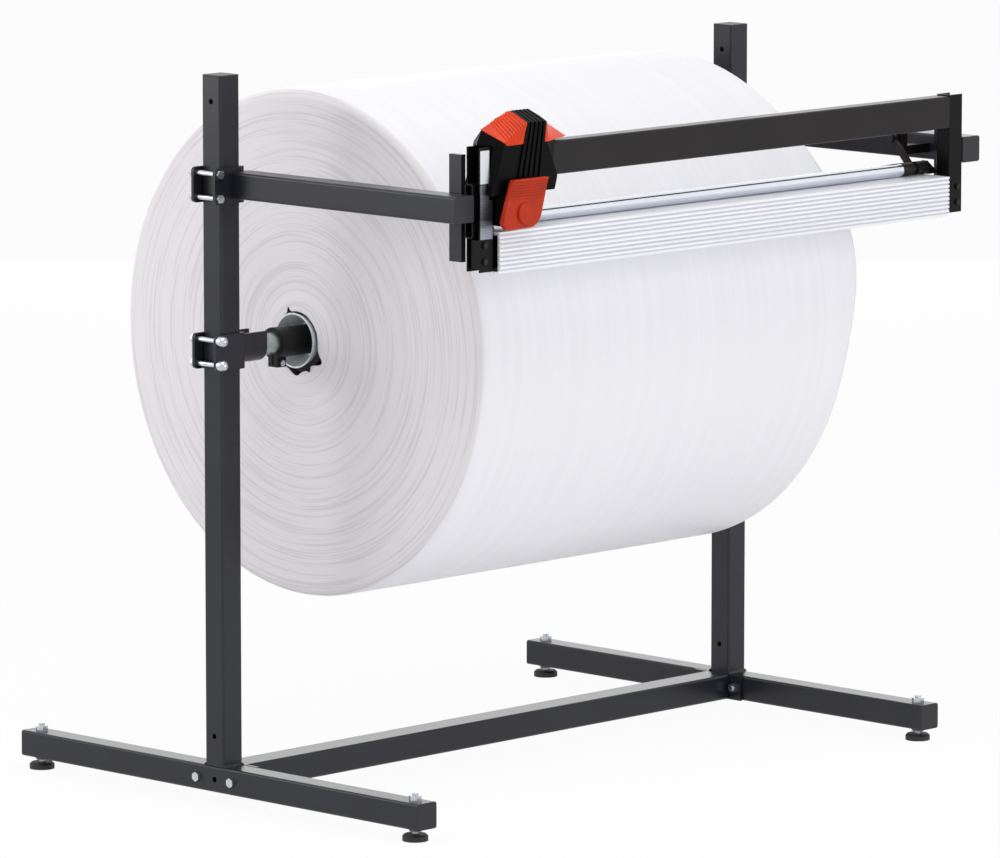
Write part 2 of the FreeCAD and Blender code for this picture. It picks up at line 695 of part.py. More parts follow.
# Levelling feet: a pad turned with a chamfer, its stud, and a nut under and over the foot's tube.
lock_nuts = []
top_nuts = []
stud_bore = S.stud_r + S.stud_ease
for side, where in ((-1, "left"), (1, "right")):
    for end, place in ((-1, "front"), (1, "back")):
        x = S.post_x * side
        y = S.stud_y * end
        pad_body = fuse(rod(x, y, 0, "+z", S.pad_r, S.pad_high - S.pad_edge),
                        cone(x, y, S.pad_high - S.pad_edge, "+z", S.pad_r, S.pad_r - S.pad_edge,
                             S.pad_edge))
        socket = rod(x, y, S.pad_high / 2, "+z", S.stud_r, S.pad_high)
        node(cut(pad_body, socket), "levelling_pad_" + place + "_" + where)
        stud_top = foot_top + S.top_nut_high + S.stud_past
        node(rod(x, y, S.pad_high / 2, "+z", S.stud_r, stud_top - S.pad_high / 2),
             "levelling_stud_" + place + "_" + where)
        lock_nuts.append(cut(
            hexagon(x, y, S.foot_under - S.lock_nut_high, "+z", S.lock_nut, S.lock_nut_high),
            rod(x, y, S.foot_under - S.lock_nut_high, "+z", stud_bore, S.lock_nut_high)))
        top_nuts.append(cut(
            hexagon(x, y, foot_top, "+z", S.lock_nut, S.top_nut_high),
            rod(x, y, foot_top, "+z", stud_bore, S.top_nut_high)))
node(group(*lock_nuts), "levelling_lock_nuts")
node(group(*top_nuts), "levelling_top_nuts")


# A clamp strap is a C of plate round an upright, with two bolt holes through its free ends.
strap_in = half + S.strap_ease
strap_out = strap_in + S.strap_thick


def strap(name, x, side, mid):
    """The strap's web lies on one side of the upright and its free ends reach past the other."""
    body = new_body(name)
    web_in = x + strap_in * side
    web_out = x + strap_out * side
    free = x - S.strap_reach * side
    profile = sketch_on(body, "XY_Plane", mid - S.strap_high / 2)
    outline(profile, [(free, -strap_out), (web_out, -strap_out), (web_out, strap_out),
                      (free, strap_out), (free, strap_in), (web_in, strap_in),
                      (web_in, -strap_in), (free, -strap_in)])
    pad(body, profile, S.strap_high)
    fillet(body, S.strap_corner, lambda edge: along(edge, 1) and near(edge.CenterOfMass.x, free))
    fillet(body, S.strap_bend, lambda edge: along(edge, 2) and near(edge.CenterOfMass.x, web_out))
    holes = sketch_on(body, "XZ_Plane", strap_out + S.overrun)
    for rise in (-1, 1):
        circle(holes, x - S.clamp_bolt_out * side, mid + S.clamp_bolt_rise * rise,
               S.clamp_bolt_r + S.bolt_ease)
    pocket(body, holes, (strap_out + S.overrun) * 2)
    return body


# Axle cradles: an open trough with a round floor, welded on the strap's web.
seat_r = S.axle_r + S.seat_ease
trough_r = seat_r + S.cradle_wall
for side, where in ((-1, "left"), (1, "right")):
    x = S.post_x * side
    web = x - strap_out * side
    inner = web - S.cradle_long * side
    low, high = (web, inner) if side < 0 else (inner, web)
    body = fuse(rod(low, 0, S.axle_z, "+x", trough_r, S.cradle_long),
                block((low, high), (-trough_r, trough_r), (S.axle_z, S.axle_z + S.cradle_high)))
    room = fuse(rod(low - S.overrun, 0, S.axle_z, "+x", seat_r, S.cradle_long + S.overrun * 2),
                block((low - S.overrun, high + S.overrun), (-seat_r, seat_r),
                      (S.axle_z, S.axle_z + S.cradle_high + S.overrun)))
    trough = cut(body, room)
    node(fuse(strap("CradleStrap_" + where, x, -side, S.axle_z), trough), where + "_cradle")
    bolts = []
    nuts = []
    bolt_x = x + S.clamp_bolt_out * side
    for rise in (-1, 1):
        z = S.axle_z + S.clamp_bolt_rise * rise
        neck = S.dome_high - S.dome_r
        bolts.append(fuse(
            rod(bolt_x, -strap_out, z, "-y", S.dome_r, neck),
            dome(bolt_x, -strap_out - neck, z, "-y", S.dome_r),
            rod(bolt_x, -strap_out, z, "+y", S.clamp_bolt_r,
                strap_out * 2 + S.nut_high + S.bolt_past)))
        nuts.append(cut(hexagon(bolt_x, strap_out, z, "+y", S.bolt_head, S.nut_high),
                        rod(bolt_x, strap_out, z, "+y", S.clamp_bolt_r, S.nut_high)))
    node(group(*bolts), where + "_cradle_bolts")
    node(group(*nuts), where + "_cradle_nuts")

# The axle is a tube that rests in both cradles.
axle = cut(rod(-S.axle_half, 0, S.axle_z, "+x", S.axle_r, S.axle_half * 2),
           rod(-S.axle_half - S.overrun, 0, S.axle_z, "+x", S.axle_r - S.axle_wall,
               (S.axle_half + S.overrun) * 2))
node(axle, "axle")

# Split collars with a clamping ear below, and their screws.
collars = []
screws = []
cones = []
hubs = []
for side in (-1, 1):
    roll_end = -S.roll_near if side < 0 else S.roll_far
    reach = S.hub_out if side < 0 else S.far_hub_out
    rim = roll_end + S.cone_out * side
    hub_end = rim + reach * side
    near_face = hub_end + S.hub_gap * side
    far_face = near_face + S.collar_wide * side
    low, high = (far_face, near_face) if side < 0 else (near_face, far_face)
    ear_low = S.axle_z - S.collar_r - S.ear_drop
    ring = fuse(rod(low, 0, S.axle_z, "+x", S.collar_r, S.collar_wide),
                block((low, high), (S.ear_wide / -2, S.ear_wide / 2), (ear_low, S.axle_z)))
    screw_x = (low + high) / 2
    screw_z = S.axle_z - S.collar_r - S.ear_drop / 2
    bore = rod(low - S.overrun, 0, S.axle_z, "+x", S.axle_r, S.collar_wide + S.overrun * 2)
    slit = block((low - S.overrun, high + S.overrun), (S.collar_slit / -2, S.collar_slit / 2),
                 (ear_low - S.overrun, S.axle_z))
    screw_hole = rod(screw_x, S.ear_wide / -2 - S.overrun, screw_z, "+y", S.collar_screw_r,
                     S.ear_wide + S.overrun * 2)
    collars.append(cut(ring, bore, slit, screw_hole))
    screws.append(fuse(
        rod(screw_x, S.ear_wide / -2, screw_z, "-y", S.collar_head_r, S.collar_head_high),
        rod(screw_x, S.ear_wide / -2, screw_z, "+y", S.collar_screw_r, S.ear_wide)))
    # A cone centres the core: a thin turned shell with a floor round its bearing hub.
    body = new_body("Cone_" + str(side + 1))
    way = -side
    tip = rim + S.cone_long * way
    floor = tip - S.cone_wall * way
    profile = sketch_on(body, "XZ_Plane", 0)
    outline(profile, [(rim, S.axle_z + S.cone_rim_r), (tip, S.axle_z + S.cone_tip_r),
                      (tip, S.axle_z + S.hub_r), (floor, S.axle_z + S.hub_r),
                      (floor, S.axle_z + S.cone_tip_r - S.cone_wall),
                      (rim, S.axle_z + S.cone_rim_r - S.cone_wall)])
    axis = sketch_on(body, "XZ_Plane", 0)
    line = axis.addGeometry(Part.LineSegment(
        FreeCAD.Vector(0, S.axle_z.value, 0),
        FreeCAD.Vector(S.axle_half.value, S.axle_z.value, 0)), False)
    axis.addConstraint(Sketcher.Constraint("Horizontal", line))
    place = axis.addConstraint(Sketcher.Constraint("DistanceY", -1, 1, line, 1, S.axle_z.value))
    axis.setExpression("Constraints[" + str(place) + "]", S.axle_z.text)
    turned = body.newObject("PartDesign::Revolution", fresh("Revolution"))
    turned.Profile = profile
    turned.ReferenceAxis = (axis, ["Edge1"])
    turned.Angle = 360
    doc.recompute()
    cones.append(body)
    # The bearing hub runs on the axle.
    hub_low, hub_high = (hub_end, tip) if side < 0 else (tip, hub_end)
    hubs.append(cut(rod(hub_low, 0, S.axle_z, "+x", S.hub_r, hub_high - hub_low),
                    rod(hub_low - S.overrun, 0, S.axle_z, "+x", S.axle_r + S.hub_ease,
                        hub_high - hub_low + S.overrun * 2)))
node(group(*collars), "axle_collars")
node(group(*screws), "collar_screws")
node(group(*cones), "core_cones")
node(group(*hubs), "bearing_hubs")

# The cardboard core and what is wound on it.
seat = S.cone_long * ((S.cone_rim_r - S.core_bore_r) / (S.cone_rim_r - S.cone_tip_r))
core_in = seat + S.cone_ease - S.cone_out
core_low = core_in - S.roll_near
core_long = S.roll_far + S.roll_near - core_in * 2
node(cut(rod(core_low, 0, S.axle_z, "+x", S.core_r, core_long),
         rod(core_low - S.overrun, 0, S.axle_z, "+x", S.core_bore_r, core_long + S.overrun * 2)),
     "cardboard_core")
node(cut(rod(-S.roll_near, 0, S.axle_z, "+x", S.roll_r, S.roll_far + S.roll_near),
         rod(-S.roll_near - S.overrun, 0, S.axle_z, "+x", S.core_r,
             S.roll_far + S.roll_near + S.overrun * 2)),
     "wrap_roll")

# Arms of the cutter: a square tube welded on the front of a clamp strap.
arm_end = S.arm_reach - S.cap_face
arm_x = {-1: S.arm_shift - S.post_x, 1: S.post_x + S.arm_shift}
for side, where in ((-1, "left"), (1, "right")):
    plate = strap("ArmStrap_" + where, S.post_x * side, 1, S.arm_z)
    mid = arm_x[side]
    tube = square_tube((mid - half, mid + half), (-arm_end, -strap_out),
                       (S.arm_z - half, S.arm_z + half), 1, S.tube_wall)
    node(fuse(plate, tube), where + "_arm")

bolts = []
nuts = []
for side in (-1, 1):
    bolt_x = S.post_x * side - S.clamp_bolt_out
    for rise in (-1, 1):
        z = S.arm_z + S.clamp_bolt_rise * rise
        bolts.append(fuse(
            hexagon(bolt_x, -strap_out, z, "-y", S.small_head, S.small_head_high),
            rod(bolt_x, -strap_out, z, "+y", S.clamp_bolt_r,
                strap_out * 2 + S.nut_high + S.bolt_past)))
        nuts.append(cut(hexagon(bolt_x, strap_out, z, "+y", S.bolt_head, S.nut_high),
                        rod(bolt_x, strap_out, z, "+y", S.clamp_bolt_r, S.nut_high)))
node(group(*bolts), "arm_clamp_bolts")
node(group(*nuts), "arm_clamp_nuts")

caps = []
for side in (-1, 1):
    caps.append(end_cap(arm_x[side], -arm_end, S.arm_z, 1, S.cap_face, S.cap_plug, plug))
node(group(*caps), "arm_end_caps")

# Inner faces of the arms and of the cheeks, on the near and the far side.
arm_face = {-1: arm_x[-1] + half, 1: arm_x[1] - half}
web_face = {-1: S.cutter_mid - S.cutter_half, 1: S.cutter_mid + S.cutter_half}


def span(side, inner, outer):
    """A span along X from an inner place to one further out, in rising order."""
    return (outer, inner) if side < 0 else (inner, outer)


# A vertical plate welded on each arm's inner face.
plates = []
for side in (-1, 1):
    plates.append(block(span(side, arm_face[side] - S.plate_thick * side, arm_face[side]),
                        (-S.plate_back - S.plate_wide, -S.plate_back),
                        (S.plate_low, S.plate_top)))
node(group(*plates), "arm_plates")

# Cheeks: channels of folded sheet, open to the outside, with a window for the rail's spigot.
spigot_front = S.cheek_front - S.cheek_sheet
spigot_back = S.rail_front - S.rail_deep + S.rail_wall
spigot_low = S.rail_low + S.spigot_up
rail_screws_z = (spigot_low + S.rail_screw_up,
                 spigot_low + S.rail_screw_up + S.rail_screw_apart)
for side, where in ((-1, "left"), (1, "right")):
    body = new_body("Cheek_" + where)
    inner = web_face[side]
    web = inner + S.cheek_sheet * side
    mouth = inner + S.cheek_wide * side
    front = -S.cheek_front
    back = S.cheek_deep - S.cheek_front
    profile = sketch_on(body, "XY_Plane", S.cheek_low)
    outline(profile, [(mouth, front), (inner, front), (inner, back), (mouth, back),
                      (mouth, back - S.cheek_sheet), (web, back - S.cheek_sheet),
                      (web, front + S.cheek_sheet), (mouth, front + S.cheek_sheet)])
    pad(body, profile, S.cheek_top - S.cheek_low)
    fillet(body, S.cheek_bend, lambda edge: along(edge, 2) and near(edge.CenterOfMass.x, inner))
    start = inner - S.overrun if side > 0 else web - S.overrun
    window = sketch_on(body, "YZ_Plane", start)
    outline(window, rectangle(
        (-spigot_front, S.window_ease - spigot_back),
        (spigot_low - S.window_ease, spigot_low + S.spigot_high + S.window_ease)))
    pocket(body, window, S.cheek_sheet + S.overrun * 2, back=True)
    holes = sketch_on(body, "XZ_Plane", S.cheek_front + S.overrun)
    for z in rail_screws_z:
        circle(holes, inner + S.rail_screw_in * side, z, S.rail_screw_r + S.bolt_ease)
    pocket(body, holes, S.cheek_sheet + S.overrun * 2)
    node(body, where + "_cheek")

# Mounting tubes between the arms and the cheeks' webs, open towards the arms.
blocks = []
block_back = S.cheek_deep - S.cheek_sheet - S.cheek_front
for side in (-1, 1):
    blocks.append(square_tube(span(side, web_face[side] + S.cheek_sheet * side, arm_face[side]),
                              (block_back - S.block_deep, block_back),
                              (S.block_low, S.block_top), 0, S.block_wall))
node(group(*blocks), "cheek_blocks")

# The guide beam that the carriage runs on.
node(square_tube((web_face[-1], web_face[1]), (-S.cheek_front, S.beam_deep - S.cheek_front),
                 (S.beam_low, S.beam_low + S.beam_high), 0, S.beam_wall), "guide_beam")

# The ribbed rail, an extruded section: a hollow box with ribs, a top plate and a knife slot.
rail = new_body("Rail")
rail_start = web_face[-1] + S.rail_near_gap
rail_end = web_face[1] - S.rail_far_gap
section = sketch_on(rail, "YZ_Plane", rail_start)
face = -(S.rail_front - S.rail_rib)
box_back = S.rail_deep - S.rail_front
deck_low = S.rail_top - S.rail_deck
deck_back = S.rail_deck_deep - S.rail_front
slot_front = -(S.knife_line + S.knife_slot / 2)
slot_back = -(S.knife_line - S.knife_slot / 2)
points = [(slot_front, S.rail_top), (-S.rail_front, S.rail_top)]
RIBS = 9
for i in range(RIBS):
    high = S.rail_top - S.rail_pitch * i
    if i > 0:
        points.append((face, high))
        points.append((-S.rail_front, high))
    points.append((-S.rail_front, high - S.rail_rib_wide))
    points.append((face, high - S.rail_rib_wide))
points += [(face, S.rail_low), (box_back, S.rail_low), (box_back, deck_low),
           (deck_back, deck_low), (deck_back, S.rail_top),
           (slot_back, S.rail_top), (slot_back, deck_low),
           (box_back - S.rail_wall, deck_low), (box_back - S.rail_wall, S.rail_low + S.rail_wall),
           (face + S.rail_wall, S.rail_low + S.rail_wall), (face + S.rail_wall, deck_low),
           (slot_front, deck_low)]
outline(section, points)
pad(rail, section, rail_end - rail_start)
node(rail, "ribbed_rail")

# Spigots hold the rail: each passes its cheek's window and takes two screws.
spigots = []
screws = []
for side in (-1, 1):
    outer = web_face[side] + S.spigot_out * side
    inner = (rail_start if side < 0 else rail_end) - S.spigot_in * side
    solid = block(span(side, inner, outer), (-spigot_front, -spigot_back),
                  (spigot_low, spigot_low + S.spigot_high))
    screw_x = web_face[side] + S.rail_screw_in * side
    holes = []
    for z in rail_screws_z:
        holes.append(rod(screw_x, -S.cheek_front, z, "+y", S.rail_screw_r,
                         S.rail_screw_long))
        screws.append(fuse(
            rod(screw_x, -S.cheek_front, z, "-y", S.rail_head_r, S.rail_head_high),
            rod(screw_x, -S.cheek_front, z, "+y", S.rail_screw_r, S.rail_screw_long)))
    spigots.append(cut(solid, *holes))
node(group(*spigots), "rail_spigots")
node(group(*screws), "rail_screws")

# Brackets on the arms' plates carry the pivot pins of the hold-down bar.
brackets = []
pins = []
levers = []
fittings = []
bar_z = S.rail_top + S.bar_r + S.bar_gap
lever_half = S.lever_wide / 2
for side in (-1, 1):
    inner = web_face[side] - S.bracket_in * side
    low = S.arm_z - S.bracket_drop
    deep = (-S.bracket_back - S.bracket_wide, -S.bracket_back)
    foot = block(span(side, inner, arm_face[side]), deep, (low, low + S.bracket_high))
    ear = block(span(side, inner, inner + S.bracket_ear * side), deep,
                (low, S.pivot_z + S.bracket_rise))
    lever_out = web_face[side] - S.lever_in * side
    lever_in = lever_out - S.lever_thick * side
    inward = "+x" if side < 0 else "-x"
    outward = "-x" if side < 0 else "+x"
    head = lever_in - S.pin_ease * side
    stem = S.lever_in - S.bracket_in + S.lever_thick + S.pin_deep
    brackets.append(cut(fuse(foot, ear),
                        rod(inner, -S.pivot_y, S.pivot_z, outward, S.pin_r, S.pin_deep)))
    pins.append(fuse(rod(head, -S.pivot_y, S.pivot_z, inward, S.pin_head_r, S.pin_head_high),
                     rod(head, -S.pivot_y, S.pivot_z, outward, S.pin_r, stem + S.pin_ease)))
    # The lever is a bar with round ends from the pin to the hold-down bar.
    drop = S.pivot_z - bar_z
    lean = S.bar_y - S.pivot_y
    reach = root(drop * drop + lean * lean)
    first = lever_in if side > 0 else lever_out
    lever = new_body("Lever_" + str(side + 1))
    profile = sketch_on(lever, "YZ_Plane", first)
    dy = S.lever_slim / 2 * (drop / reach)
    dz = S.lever_slim / 2 * (lean / reach)
    outline(profile, [(-S.pivot_y - dy, S.pivot_z + dz), (-S.pivot_y + dy, S.pivot_z - dz),
                      (-S.bar_y + dy, bar_z - dz), (-S.bar_y - dy, bar_z + dz)])
    pad(lever, profile, S.lever_thick)
    ends = fuse(lever, rod(first, -S.pivot_y, S.pivot_z, "+x", lever_half, S.lever_thick),
                rod(first, -S.bar_y, bar_z, "+x", lever_half, S.lever_thick))
    levers.append(cut(ends,
                      rod(first - S.overrun, -S.pivot_y, S.pivot_z, "+x", S.pin_r + S.pin_ease,
                          S.lever_thick + S.overrun * 2),
                      rod(first - S.overrun, -S.bar_y, bar_z, "+x", S.fitting_neck_r,
                          S.lever_thick + S.overrun * 2)))
    # The end fitting plugs into the bar, passes the lever and ends in a point.
    bar_end = web_face[side] - S.bar_in * side
    to_lever = S.bar_in - S.lever_in - S.lever_thick
    past = S.fitting_long - to_lever - S.lever_thick
    tip = new_body("Tip_" + str(side + 1))
    profile = sketch_on(tip, "XZ_Plane", S.bar_y - S.tip_wide / 2)
    tip_start = lever_out + past * side
    tip_end = tip_start + S.tip_long * side
    outline(profile, [(tip_start, bar_z - S.bar_r), (tip_end, bar_z - S.bar_r),
                      (tip_end, bar_z - S.bar_r + S.tip_low), (tip_start, bar_z + S.bar_r)])
    pad(tip, profile, S.tip_wide)
    fittings.append(fuse(
        rod(bar_end, -S.bar_y, bar_z, inward, S.bar_r - S.bar_wall, S.fitting_plug),
        rod(bar_end, -S.bar_y, bar_z, outward, S.bar_r, to_lever),
        rod(lever_in, -S.bar_y, bar_z, outward, S.fitting_neck_r, S.lever_thick),
        rod(lever_out, -S.bar_y, bar_z, outward, S.bar_r, past),
        tip))
node(group(*brackets), "bar_brackets")
node(group(*pins), "bar_pins")
node(group(*levers), "bar_levers")
node(group(*fittings), "bar_end_fittings")

bar_low = web_face[-1] + S.bar_in
bar_long = web_face[1] - S.bar_in - bar_low
node(cut(rod(bar_low, -S.bar_y, bar_z, "+x", S.bar_r, bar_long),
         rod(bar_low - S.overrun, -S.bar_y, bar_z, "+x", S.bar_r - S.bar_wall,
             bar_long + S.overrun * 2)), "pressure_bar")

# Knife carriage. Its outline changes from the front face to the ridge and back again:
# each row holds a corner's place at the front and at the ridge, as shares of the carriage's
# half width from its middle and of its height from the lower edge.
HIP_SHARES = ((-0.645, 0.65), (-0.91, 0.81))
BROW_SHARES = ((0.05, 0.87), (-0.08, 1.0))
END_SHARES = ((0.97, 0.0), (0.97, 0.0))
CORNER_SHARES = [
    ((-1.0, 0.0), (-1.0, 0.0)),
    ((-0.665, 0.625), (-1.05, 0.64)),
    HIP_SHARES,
    BROW_SHARES,
    ((0.68, 0.86), (0.56, 1.0)),
    ((0.72, 0.625), (1.87, 0.59)),
    ((1.055, 0.17), (1.055, 0.17)),
    END_SHARES,
]
MIDDLE_SHARE = 0.1
UPPER_SHARE = 0.5
shell_ridge = S.shell_front - S.shell_deep / 2
shell_back = S.shell_front - S.shell_deep
shell_high = S.shell_low + S.shell_tall


def shell_corner(share):
    """A corner of the carriage's outline from its shares."""
    return (S.shell_half * share[0] - S.shell_x, S.shell_low + S.shell_tall * share[1])


def carriage_form(name, grow):
    """The carriage's outer form, larger all round by a named amount."""
    body = new_body(name)
    rows = []
    for place, which in ((S.shell_front + grow, 0), (shell_ridge, 1), (shell_back - grow, 0)):
        sketch = sketch_on(body, "XZ_Plane", place)
        corners = []
        for row in CORNER_SHARES:
            across, up = row[which]
            x, z = shell_corner(row[which])
            out = (across > MIDDLE_SHARE) - (across < -MIDDLE_SHARE)
            corners.append((x + as_size(grow) * out, z + grow if up > UPPER_SHARE else z))
        outline(sketch, corners)
        rows.append(sketch)
    loft = body.newObject("PartDesign::AdditiveLoft", fresh("Loft"))
    loft.Profile = rows[0]
    loft.Sections = rows[1:]
    loft.Ruled = True
    doc.recompute()
    return body


def slab(name, corners):
    """An upright slab through the carriage from front to back, with its outline in the XZ plane."""
    body = new_body(name)
    sketch = sketch_on(body, "XZ_Plane", shell_back - S.overrun)
    outline(sketch, corners)
    pad(body, sketch, S.shell_deep + S.overrun * 2)
    return body


shell = carriage_form("ShellForm", 0)
beam_front = -S.cheek_front
beam_back = S.beam_deep - S.cheek_front
beam_top = S.beam_low + S.beam_high
wrap = S.shoe + S.shoe_ease
widest = S.shell_half * max(abs(place[0]) for row in CORNER_SHARES for place in row)
shell_left = -S.shell_x - widest - S.overrun
shell_right = -S.shell_x + widest + S.overrun
sky = shell_high + S.overrun
channel = block((shell_left, shell_right), (beam_front - wrap, beam_back + wrap),
                (S.shell_low - S.overrun, beam_top + wrap))
node(cut(shell, channel), "carriage_shell")

# Glide shoes line the channel of the shell at both ends.
shoes = []
for start in (web_face[-1] + S.shoe_gap, shell_corner(END_SHARES[0])[0] - S.shoe_long):
    outer = block((start, start + S.shoe_long), (beam_front - wrap, beam_back + wrap),
                  (S.beam_low, beam_top + wrap))
    inner = block((start - S.overrun, start + S.shoe_long + S.overrun),
                  (beam_front - S.shoe_ease, beam_back + S.shoe_ease),
                  (S.beam_low - S.overrun, beam_top + S.shoe_ease))
    shoes.append(cut(outer, inner))
node(group(*shoes), "glide_shoes")

# The band: ribs that run over the roof and down the front, where they lean and spread.
grown = carriage_form("BandForm", S.band_rise)
RIB_COUNT = 5
head_top = S.head_low + S.head_high
rib_low = head_top + S.head_gap
brow_x, brow_z = shell_corner(BROW_SHARES[0])
ribs = []
starts = []
for i in range(RIB_COUNT):
    place = i - (RIB_COUNT - 1) / 2
    top = S.band_mid - S.shell_x + S.band_pitch * place - S.band_rib / 2
    low = S.band_mid - S.shell_x - S.band_lean + S.band_spread * place - S.band_rib / 2
    starts.append((top, (top - low) / (brow_z - rib_low)))
    ribs.append(slab("Rib_" + str(i), [
        (low, rib_low), (low + S.band_rib, rib_low), (top + S.band_rib, brow_z),
        (top + S.band_rib, sky), (top, sky), (top, brow_z)]))
node(cut(common(grown, fuse(*ribs)), shell, channel), "carriage_band")

# Coloured grips on the two slopes of the roof. The left one has fine ribs that follow the roof
# and lean on the front face.
waist = beam_top + wrap
drop = brow_z - waist
left_edge = starts[0][0] - S.band_gap
right_edge = starts[-1][0] + S.band_rib + S.band_gap
hip_x, hip_z = shell_corner(HIP_SHARES[0])
end_x, end_z = shell_corner(HIP_SHARES[1])
toe_x = hip_x + (hip_x - end_x) * ((hip_z - waist) / (end_z - hip_z))
peak_x = end_x + end_x - hip_x
peak_z = end_z + end_z - hip_z
left_zone = slab("GripZoneLeft", [
    (toe_x, waist), (left_edge - starts[0][1] * drop, waist), (left_edge, brow_z),
    (left_edge, sky), (peak_x, sky), (peak_x, peak_z), (hip_x, hip_z)])
right_zone = slab("GripZoneRight", [
    (right_edge - starts[-1][1] * drop, waist), (shell_right, waist), (shell_right, sky),
    (right_edge, sky), (right_edge, brow_z)])
GRIP_RIBS = 9
fine = []
for i in range(GRIP_RIBS):
    part = (i + 1 / 2) / GRIP_RIBS
    x = hip_x + (brow_x - hip_x) * part
    z = hip_z + (brow_z - hip_z) * part
    low = x - S.grip_lean_share * (z - waist)
    fine.append(slab("FineRib_" + str(i), [
        (low, waist), (low + S.grip_rib, waist), (x + S.grip_rib, z), (x + S.grip_rib, sky),
        (x, sky), (x, z)]))
front_half = block((shell_left, shell_right), (-S.shell_front - S.overrun, -shell_ridge),
                   (waist, sky))
skin = common(carriage_form("GripForm", S.grip_rise),
              common(fuse(left_zone, right_zone), front_half))
raised = common(carriage_form("GripRibForm", S.grip_rise + S.grip_rib_rise),
                common(common(left_zone, front_half), fuse(*fine)))
node(cut(fuse(skin, raised), shell), "carriage_grips")

# The knife head: a coloured housing with a rounded lip, ribs, parting lines and a round boss.
# Its corners are shares of its half width from its middle and of its height.
HEAD_SHARES = [(-0.6, 1.0), (1.13, 1.0), (0.66, 0.02), (-0.92, 0.0), (-1.13, 0.14)]
head_back = S.head_front - S.head_deep
head_face = S.head_front - S.head_rib


def head_corner(share):
    """A corner of the head's outline from its shares."""
    return (S.head_half * share[0] - S.head_x, S.head_low + S.head_high * share[1])


def head_side(low, high, z):
    """Where the head's side between two corners lies at some height."""
    part = ((z - S.head_low) / S.head_high - low[1]) / (high[1] - low[1])
    return S.head_half * (part * (high[0] - low[0]) + low[0]) - S.head_x


body = new_body("Head")
profile = sketch_on(body, "XZ_Plane", head_back)
outline(profile, [head_corner(share) for share in HEAD_SHARES])
pad(body, profile, head_face - head_back)
low_far = head_corner(HEAD_SHARES[2])
fillet(body, S.head_round_far, lambda edge: along(edge, 1) and near(edge.CenterOfMass.x, low_far[0])
       and near(edge.CenterOfMass.z, low_far[1]))
low_near = [head_corner(share)[0] for share in HEAD_SHARES[3:]]
fillet(body, S.head_round,
       lambda edge: along(edge, 1) and any(near(edge.CenterOfMass.x, x) for x in low_near))
lip_left = head_corner(HEAD_SHARES[0])[0] + S.head_lip_in
lip_right = head_corner(HEAD_SHARES[1])[0] - S.head_lip_in
lip_z = head_top + S.head_lip_up - S.head_lip_r
parts = [body, rod(lip_left, S.head_lip_r - S.head_front, lip_z, "+x", S.head_lip_r,
                   lip_right - lip_left)]
HEAD_RIBS = 6
for i in range(HEAD_RIBS):
    z = head_top - S.head_lip_r * 2 - S.head_pitch * (i + 1)
    left = head_side(HEAD_SHARES[4], HEAD_SHARES[0], z) + S.head_inset
    right = head_side(HEAD_SHARES[2], HEAD_SHARES[1], z) - S.head_inset
    parts.append(block((left, right), (-S.head_front, -head_face), (z, z + S.head_rib_wide)))
boss_x = -S.head_x - S.boss_x
boss_z = S.head_low + S.boss_up
boss_long = S.boss_rise + S.head_rib - S.boss_edge
parts.append(rod(boss_x, -head_face, boss_z, "-y", S.boss_r, boss_long))
parts.append(cone(boss_x, -head_face - boss_long, boss_z, "-y", S.boss_r,
                  S.boss_r - S.boss_edge, S.boss_edge))
seam_z = S.head_low + S.seam_up
seam_left = head_side(HEAD_SHARES[4], HEAD_SHARES[0], seam_z)
seam_right = head_side(HEAD_SHARES[2], HEAD_SHARES[1], seam_z)
seams = [block(ends, (-S.head_front, S.seam - head_face), (seam_z, seam_z + S.seam))
         for ends in ((seam_left - S.overrun, seam_left + S.seam_long),
                      (seam_right - S.seam_long, seam_right + S.overrun))]
node(cut(fuse(*parts), *seams), "head_housing")

# The knife holder behind the housing, and the blade that reaches into the rail's slot.
left = web_face[-1] + S.holder_ease
right = low_far[0] - S.head_round_far / 2
holder_low = S.rail_top + S.holder_up
holder_top = S.shell_low - S.head_gap
upper = block((lip_left + S.holder_inset, right), (-head_back, -(S.shell_front + S.head_gap)),
              (S.head_low + S.head_round, head_top - S.holder_inset))
lower = block((left, right), (-head_back, -(S.cheek_front + S.holder_ease)),
              (holder_low, holder_top))
rear = block((left, right), (-head_back, S.holder_deep - head_back), (holder_low, holder_top))
blade_mid = (left + right) / 2
blade_half = S.blade_long / 2
blade_low = S.rail_top - S.blade_drop
holder_slot = block((blade_mid - blade_half, blade_mid + blade_half),
                    (-S.knife_line - S.blade_thick / 2, -S.knife_line + S.blade_thick / 2),
                    (holder_low - S.overrun, holder_low + S.blade_up))
node(cut(fuse(upper, lower, rear), holder_slot), "knife_holder")

body = new_body("Blade")
profile = sketch_on(body, "XZ_Plane", S.knife_line - S.blade_thick / 2)
outline(profile, [(blade_mid - blade_half, holder_low + S.blade_up),
                  (blade_mid + blade_half, holder_low + S.blade_up),
                  (blade_mid + blade_half, holder_low),
                  (blade_mid + blade_half / 2, blade_low),
                  (blade_mid - blade_half / 2, blade_low),
                  (blade_mid - blade_half, holder_low)])
pad(body, profile, S.blade_thick)
node(body, "blade")

doc.recompute()
bad = []
for obj in doc.Objects:
    if "Invalid" in obj.State or "Error" in obj.State:
        bad.append(obj.Name)
for obj in nodes:
    if obj.Shape.isNull() or not obj.Shape.isValid() or not obj.Shape.Solids:
        bad.append(obj.Label)
if bad:
    raise RuntimeError("failed: " + ", ".join(bad))

os.makedirs("parts", exist_ok=True)
for obj in nodes:
    obj.Shape.exportStep("parts/" + obj.Label + ".step")
    print(obj.Label, len(obj.Shape.Solids), round(obj.Shape.Volume))
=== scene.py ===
import math

